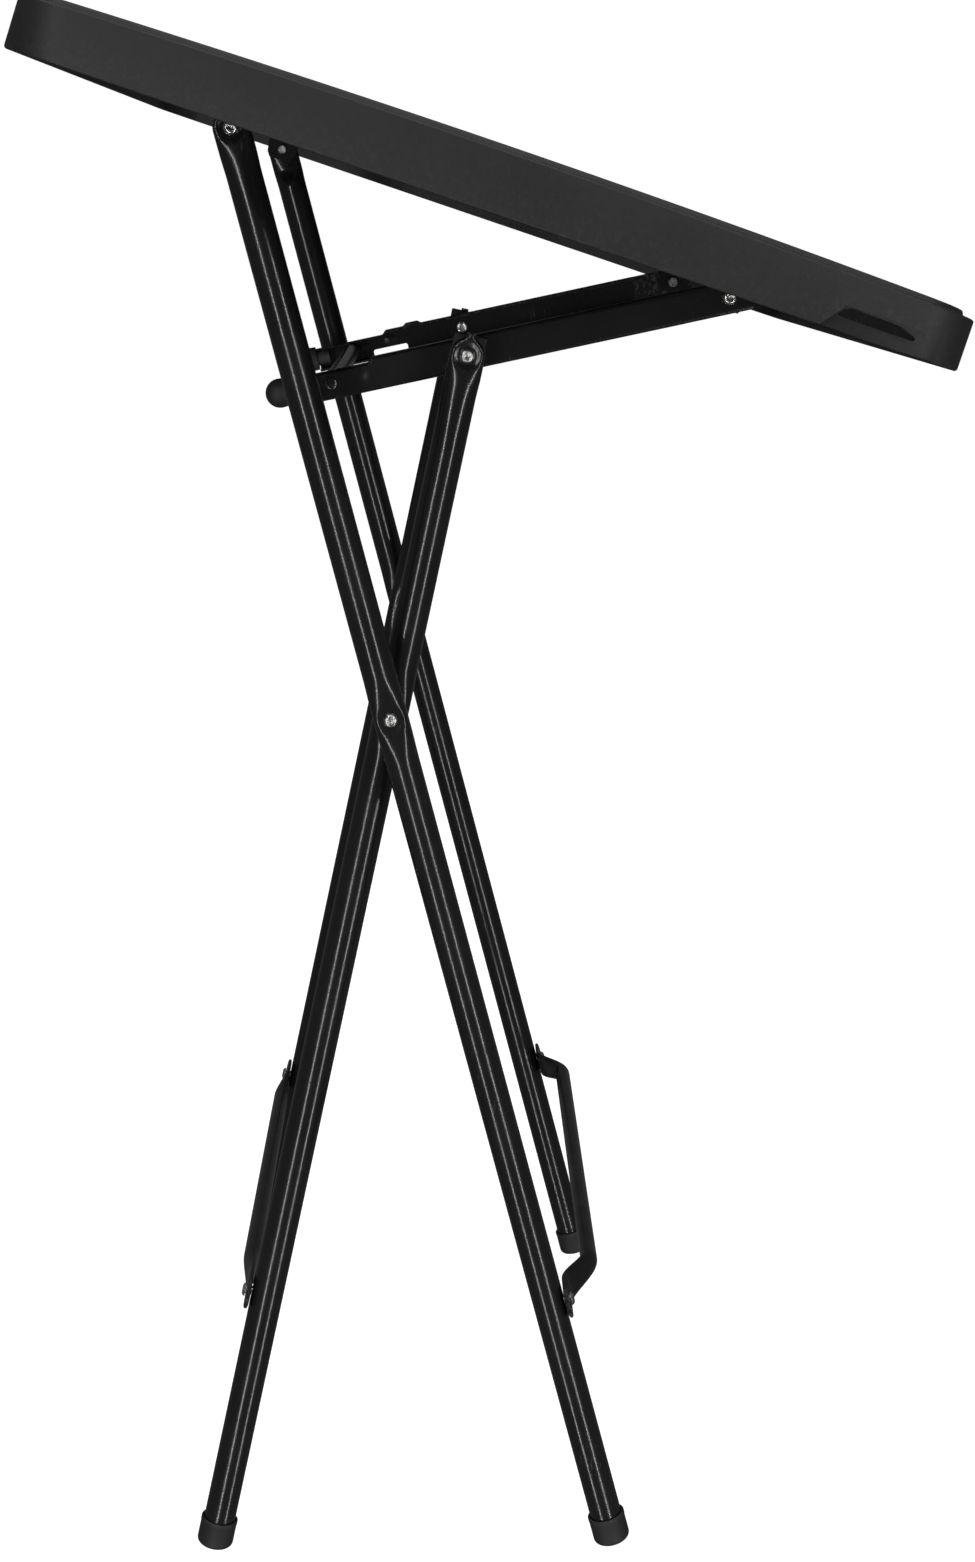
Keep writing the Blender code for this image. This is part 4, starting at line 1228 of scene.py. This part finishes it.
class TABLE_OT_top(bpy.types.Operator):
    """Make the moulded top with its hand holds and the ribs under it"""

    bl_idname = "folding_table.top"
    bl_label = "Top"

    def execute(self, context):
        sizes = context.scene.folding_top
        self.low_end = sizes.side - sizes.pivot_inset
        mesh = self.shell(sizes)
        tools = []
        for side in SIDES.values():
            tools += self.hand_hold(sizes, side)
        mesh = cut(mesh, tools)
        self.paint_recess_shade(mesh, sizes)
        add_piece("moulded_top", mesh, "top", look_of("top_plastic"), ["table_top"])
        add_piece("moulded_ribs", self.ribs(sizes), "top", look_of("top_plastic"))
        return {"FINISHED"}

    def plan_ring(self, sizes, inset, height, lift=0):
        """A rounded rectangle this far inside the edge, lifted towards the middle of its short side."""
        keep = max(sizes.corner, inset + 0.0005)
        radius = keep - inset
        middle, half = sizes.side / 2 - sizes.pivot_inset, sizes.side / 2 - keep
        reach = TOP_LENGTH / 2 - keep
        ring = []
        for x, y, start in ((1, -1, -90), (1, 1, 0), (-1, 1, 90), (-1, -1, 180)):
            corner = arc((middle + x * half, y * reach), radius, start, start + 90, 18)
            ring += corner
            if start in (0, 180):
                ring += [(middle + x * half * (1 - i / 12), y * (reach + radius)) for i in range(1, 24)]
        points = []
        for x, y in ring:
            share = 1 - ((x - middle) / (sizes.side / 2)) ** 2
            points.append(Vector((x, y, height + lift * share)))
        return points

    def shell(self, sizes):
        shoulder = sizes.height - sizes.crown
        under = sizes.height - sizes.plate
        wall = sizes.wall
        stations = [(wall + 0.0022, under), (wall + 0.0009, under - 0.0004), (wall + 0.0003, under - 0.0015)]
        stations += [(wall, 0.0012), (wall * 0.92, 0.0004), (wall * 0.75, 0), (wall * 0.35, 0)]
        stations += [(wall * 0.13, 0.0004), (0, 0.0013)]
        fillet = 0.0013
        stations += [(0.0005 + fillet - x, shoulder - fillet + z) for x, z in arc((0, 0), fillet, 0, 90, 7)]
        rise = 0.0012
        lip = sizes.rim
        stations += [(lip - rise, shoulder), (lip - rise * 0.4, shoulder + 0.0003)]
        stations += [(lip, shoulder + sizes.crown * 0.45), (lip + 0.0003, sizes.height - 0.0008)]
        stations += [(lip + 0.0008, sizes.height - 0.0002), (lip + 0.0018, sizes.height)]
        rings = []
        for inset, z in stations:
            outside = inset < sizes.wall * 0.5 or z > under + 0.001
            lift = sizes.dome * smooth_step((z - 0.008) / 0.010) if outside else 0
            rings.append(self.plan_ring(sizes, inset, z, lift))
        last = stations[-1][0]
        for i in range(1, 13):
            inset = last + (sizes.side / 2 - 0.002 - last) * i / 12
            rings.append(self.plan_ring(sizes, inset, sizes.height, sizes.dome))
        return loft("moulded_top", rings)

    def paint_recess_shade(self, mesh, sizes):
        """Stores painted shade for the points inside the hand holds, which darkens the plastic there."""
        start = self.low_end - sizes.handle_end - sizes.handle_length
        stop = self.low_end - sizes.handle_end + 0.006
        hollow = []
        for vert in mesh.vertices:
            deep = TOP_LENGTH / 2 - abs(vert.co.y)
            within = start - 0.003 < vert.co.x < stop and vert.co.z < sizes.handle_height + 0.001
            inside = within and 0.0004 < deep < 0.012
            hollow.append(smooth_step((deep - 0.0003) / 0.0012) if inside else 0)
        attribute = mesh.attributes.new("hollow", "FLOAT", "POINT")
        attribute.data.foreach_set("value", hollow)

    def hand_hold(self, sizes, side):
        """A thicker wall, a recess in its lower part and a slot for the fingers."""
        edge = TOP_LENGTH / 2
        stop = self.low_end - sizes.handle_end
        start = stop - sizes.handle_length
        tall, slope = sizes.handle_height, 0.0095
        near, far = sorted((side * (edge - 0.001), side * (edge - 0.008)))
        ceiling = sizes.height - sizes.plate + 0.001
        block = box("block", (start - 0.006, near, 0.0004), (stop + 0.001, far, ceiling))
        outline = [(start - 0.0015, -0.002), (start + slope, tall - 0.0002), (stop - slope * 0.5, tall)]
        for i in range(1, 7):
            outline.append((stop - slope * 0.5 + 0.0016 * i, tall - 0.0021 * i + 0.0005))
        outline += [(stop + 0.0075, -0.002)]
        rings = []
        for deep in (False, True):
            ring = []
            for x, z in outline:
                share = smooth_step((x - stop + 0.0105) / 0.016)
                sunk = 0.0006 + sizes.handle_recess * 1.4 * (1 - max(z, 0) / tall)
                y = edge - sunk * (1 - share) + 0.0002 * share if deep else edge + 0.002
                ring.append(Vector((x, side * y, z)))
            rings.append(ring)
        recess = loft("recess", rings)
        top, low = tall - 0.0006, tall - 0.0060
        a, b = start + slope, stop - slope
        window = [(a - 0.0026, low + 0.0010), (a - 0.0016, low + 0.0002), (b + 0.0022, low)]
        window += [(b + 0.0036, low + 0.0006), (b + 0.0028, low + 0.0020), (b - 0.0050, top - 0.0006)]
        window += [(a + 0.003, top), (a + 0.0004, top - 0.0008)]
        low_y, high_y = sorted((side * (edge + 0.002), side * (edge - 0.010)))
        slot = bevelled(prism("slot", window, low_y, high_y), 0.0006, 2)
        return [("UNION", block), ("DIFFERENCE", recess), ("DIFFERENCE", slot)]

    def ribs(self, sizes):
        """Crossing ribs under the plate, one shape set along each line."""
        under = sizes.height - sizes.plate
        depth = sizes.rib_height + 0.001
        build = box("rib", (-0.5, -sizes.rib_wall / 2, -depth / 2), (0.5, sizes.rib_wall / 2, depth / 2))
        for vert in build.vertices:
            if vert.co.z < 0:
                vert.co.y *= 0.72
        centre_z = under + 0.001 - depth / 2
        inner = sizes.wall * 0.6
        length_x = sizes.side - 2 * inner
        length_y = TOP_LENGTH - 2 * inner
        middle = sizes.side / 2 - sizes.pivot_inset
        rows = []
        for x in (PIVOT_SPAN / 2 - 0.062, PIVOT_SPAN / 2 + 0.062):
            rows.append(((x, 0, centre_z), (0, 0, 1), (0, 1, 0), (length_y, 1, 1)))
        for share in (-0.79, -0.27, 0.27, 0.79):
            place = (middle, share * TOP_LENGTH / 2, centre_z)
            rows.append((place, (0, 0, 1), (1, 0, 0), (length_x, 1, 0.94)))
        return repeated("moulded_ribs", build, rows, look_of("top_plastic"))


# The stage.

STRIPS = {"left_strip": (-0.86, -1.75, 0.10), "right_strip": (0.98, -1.62, 0.10)}
STRIP_TARGET = (0, 0, 0.10)
STRIP_SIZE = (0.075, 4.4)
STRIP_POWER = 24
CAMERA_FROM_CROSSING = Vector((0.0434, -1.4479, 0.2573))
CAMERA_TURN_DEGREES = (76.675, 3.400, -1.080)
LENS_MM, SENSOR_MM = 54.99, 36
SURROUND_IN_REFLECTIONS = 0.08


def area_light(name, spot, target, size, power):
    data = bpy.data.lights.new(name, "AREA")
    data.shape = "RECTANGLE"
    data.size, data.size_y = size
    data.energy = power
    light = bpy.data.objects.new(name, data)
    light.location = spot
    light.rotation_euler = (Vector(target) - Vector(spot)).to_track_quat("-Z", "Y").to_euler()
    bpy.context.scene.collection.objects.link(light)
    return light


class TABLE_OT_stage(bpy.types.Operator):
    """Make the pale floor, the soft lights and the camera"""

    bl_idname = "folding_table.stage"
    bl_label = "Stage"

    def execute(self, context):
        self.floor(context.scene.folding_finishes)
        self.world(context.scene)
        for name, spot in STRIPS.items():
            area_light(name, spot, STRIP_TARGET, STRIP_SIZE, STRIP_POWER)
        area_light("overhead", (0.1, -0.7, 3.1), (0.1, 0, 0.4), (3.0, 3.0), 50)
        self.camera(context.scene)
        return {"FINISHED"}

    def floor(self, colours):
        """A pale floor that glows for the camera only, and that reflections and shadow rays pass through."""
        mesh = box("floor", (-9, -9, -0.02), (9, 9, 0))
        floor = helper("floor", mesh)
        look, tree, shader = new_look("floor_paper")
        shader.inputs["Roughness"].default_value = 0.9
        shader.inputs["Base Color"].default_value = (*colours.floor, 1)
        shader.inputs["Emission Color"].default_value = (1, 1, 1, 1)
        path = node(tree, "ShaderNodeLightPath").outputs
        tree.links.new(path["Is Camera Ray"], shader.inputs["Emission Strength"])
        clear = node(tree, "ShaderNodeBsdfTransparent")
        passes = calc(tree, "MAXIMUM", path["Is Glossy Ray"], path["Is Shadow Ray"])
        mixed = node(
            tree, "ShaderNodeMixShader", None, {0: passes, 1: shader.outputs[0], 2: clear.outputs[0]}
        )
        tree.links.new(mixed.outputs[0], tree.nodes["Material Output"].inputs["Surface"])
        mesh.materials.append(look)

    def world(self, scene):
        """A white surround for the eye and the floor, kept dim in reflections."""
        world = bpy.data.worlds.new("studio")
        world.use_nodes = True
        tree = world.node_tree
        back = tree.nodes["Background"]
        path = node(tree, "ShaderNodeLightPath")
        seen = path.outputs["Is Camera Ray"]
        level = ramp(tree, seen, 0.0, 1.0, SURROUND_IN_REFLECTIONS, 1.0, smooth=False)
        back.inputs["Color"].default_value = (1, 1, 1, 1)
        tree.links.new(level, back.inputs["Strength"])
        scene.world = world
        scene.view_settings.view_transform = "Standard"

    def camera(self, scene):
        data = bpy.data.cameras.new("camera")
        data.lens = LENS_MM
        data.sensor_width = SENSOR_MM
        data.clip_start, data.clip_end = 0.05, 50
        camera = bpy.data.objects.new("camera", data)
        camera.location = CROSSING + CAMERA_FROM_CROSSING
        camera.rotation_euler = [math.radians(turn) for turn in CAMERA_TURN_DEGREES]
        scene.collection.objects.link(camera)
        scene.camera = camera


class TABLE_PT_panel(bpy.types.Panel):
    """Lists the sizes, colours and steps of the folding table"""

    bl_label = "Folding Table"
    bl_idname = "TABLE_PT_panel"
    bl_space_type = "VIEW_3D"
    bl_region_type = "UI"
    bl_category = "Folding Table"

    def draw(self, context):
        layout = self.layout
        for pointer, group in SETTINGS:
            column = layout.box().column()
            for key in group.__annotations__:
                column.prop(getattr(context.scene, pointer), key)
        for operator in OPERATORS:
            layout.operator(operator.bl_idname)


SETTINGS = (
    ("folding_tubes", TubeSizes),
    ("folding_top", TopSizes),
    ("folding_rails", RailSizes),
    ("folding_finishes", Finishes),
)
OPERATORS = (
    TABLE_OT_top,
    TABLE_OT_legs,
    TABLE_OT_foot_caps,
    TABLE_OT_braces,
    TABLE_OT_rails,
    TABLE_OT_blocks,
    TABLE_OT_fasteners,
    TABLE_OT_stage,
)


def register():
    for pointer, group in SETTINGS:
        bpy.utils.register_class(group)
        setattr(bpy.types.Scene, pointer, bpy.props.PointerProperty(type=group))
    for made in (*OPERATORS, TABLE_PT_panel):
        bpy.utils.register_class(made)


def unregister():
    for made in (TABLE_PT_panel, *reversed(OPERATORS)):
        bpy.utils.unregister_class(made)
    for pointer, group in reversed(SETTINGS):
        delattr(bpy.types.Scene, pointer)
        bpy.utils.unregister_class(group)


def main():
    register()
    for operator in OPERATORS:
        area, step = operator.bl_idname.split(".")
        getattr(getattr(bpy.ops, area), step)()


if __name__ == "__main__":
    main()
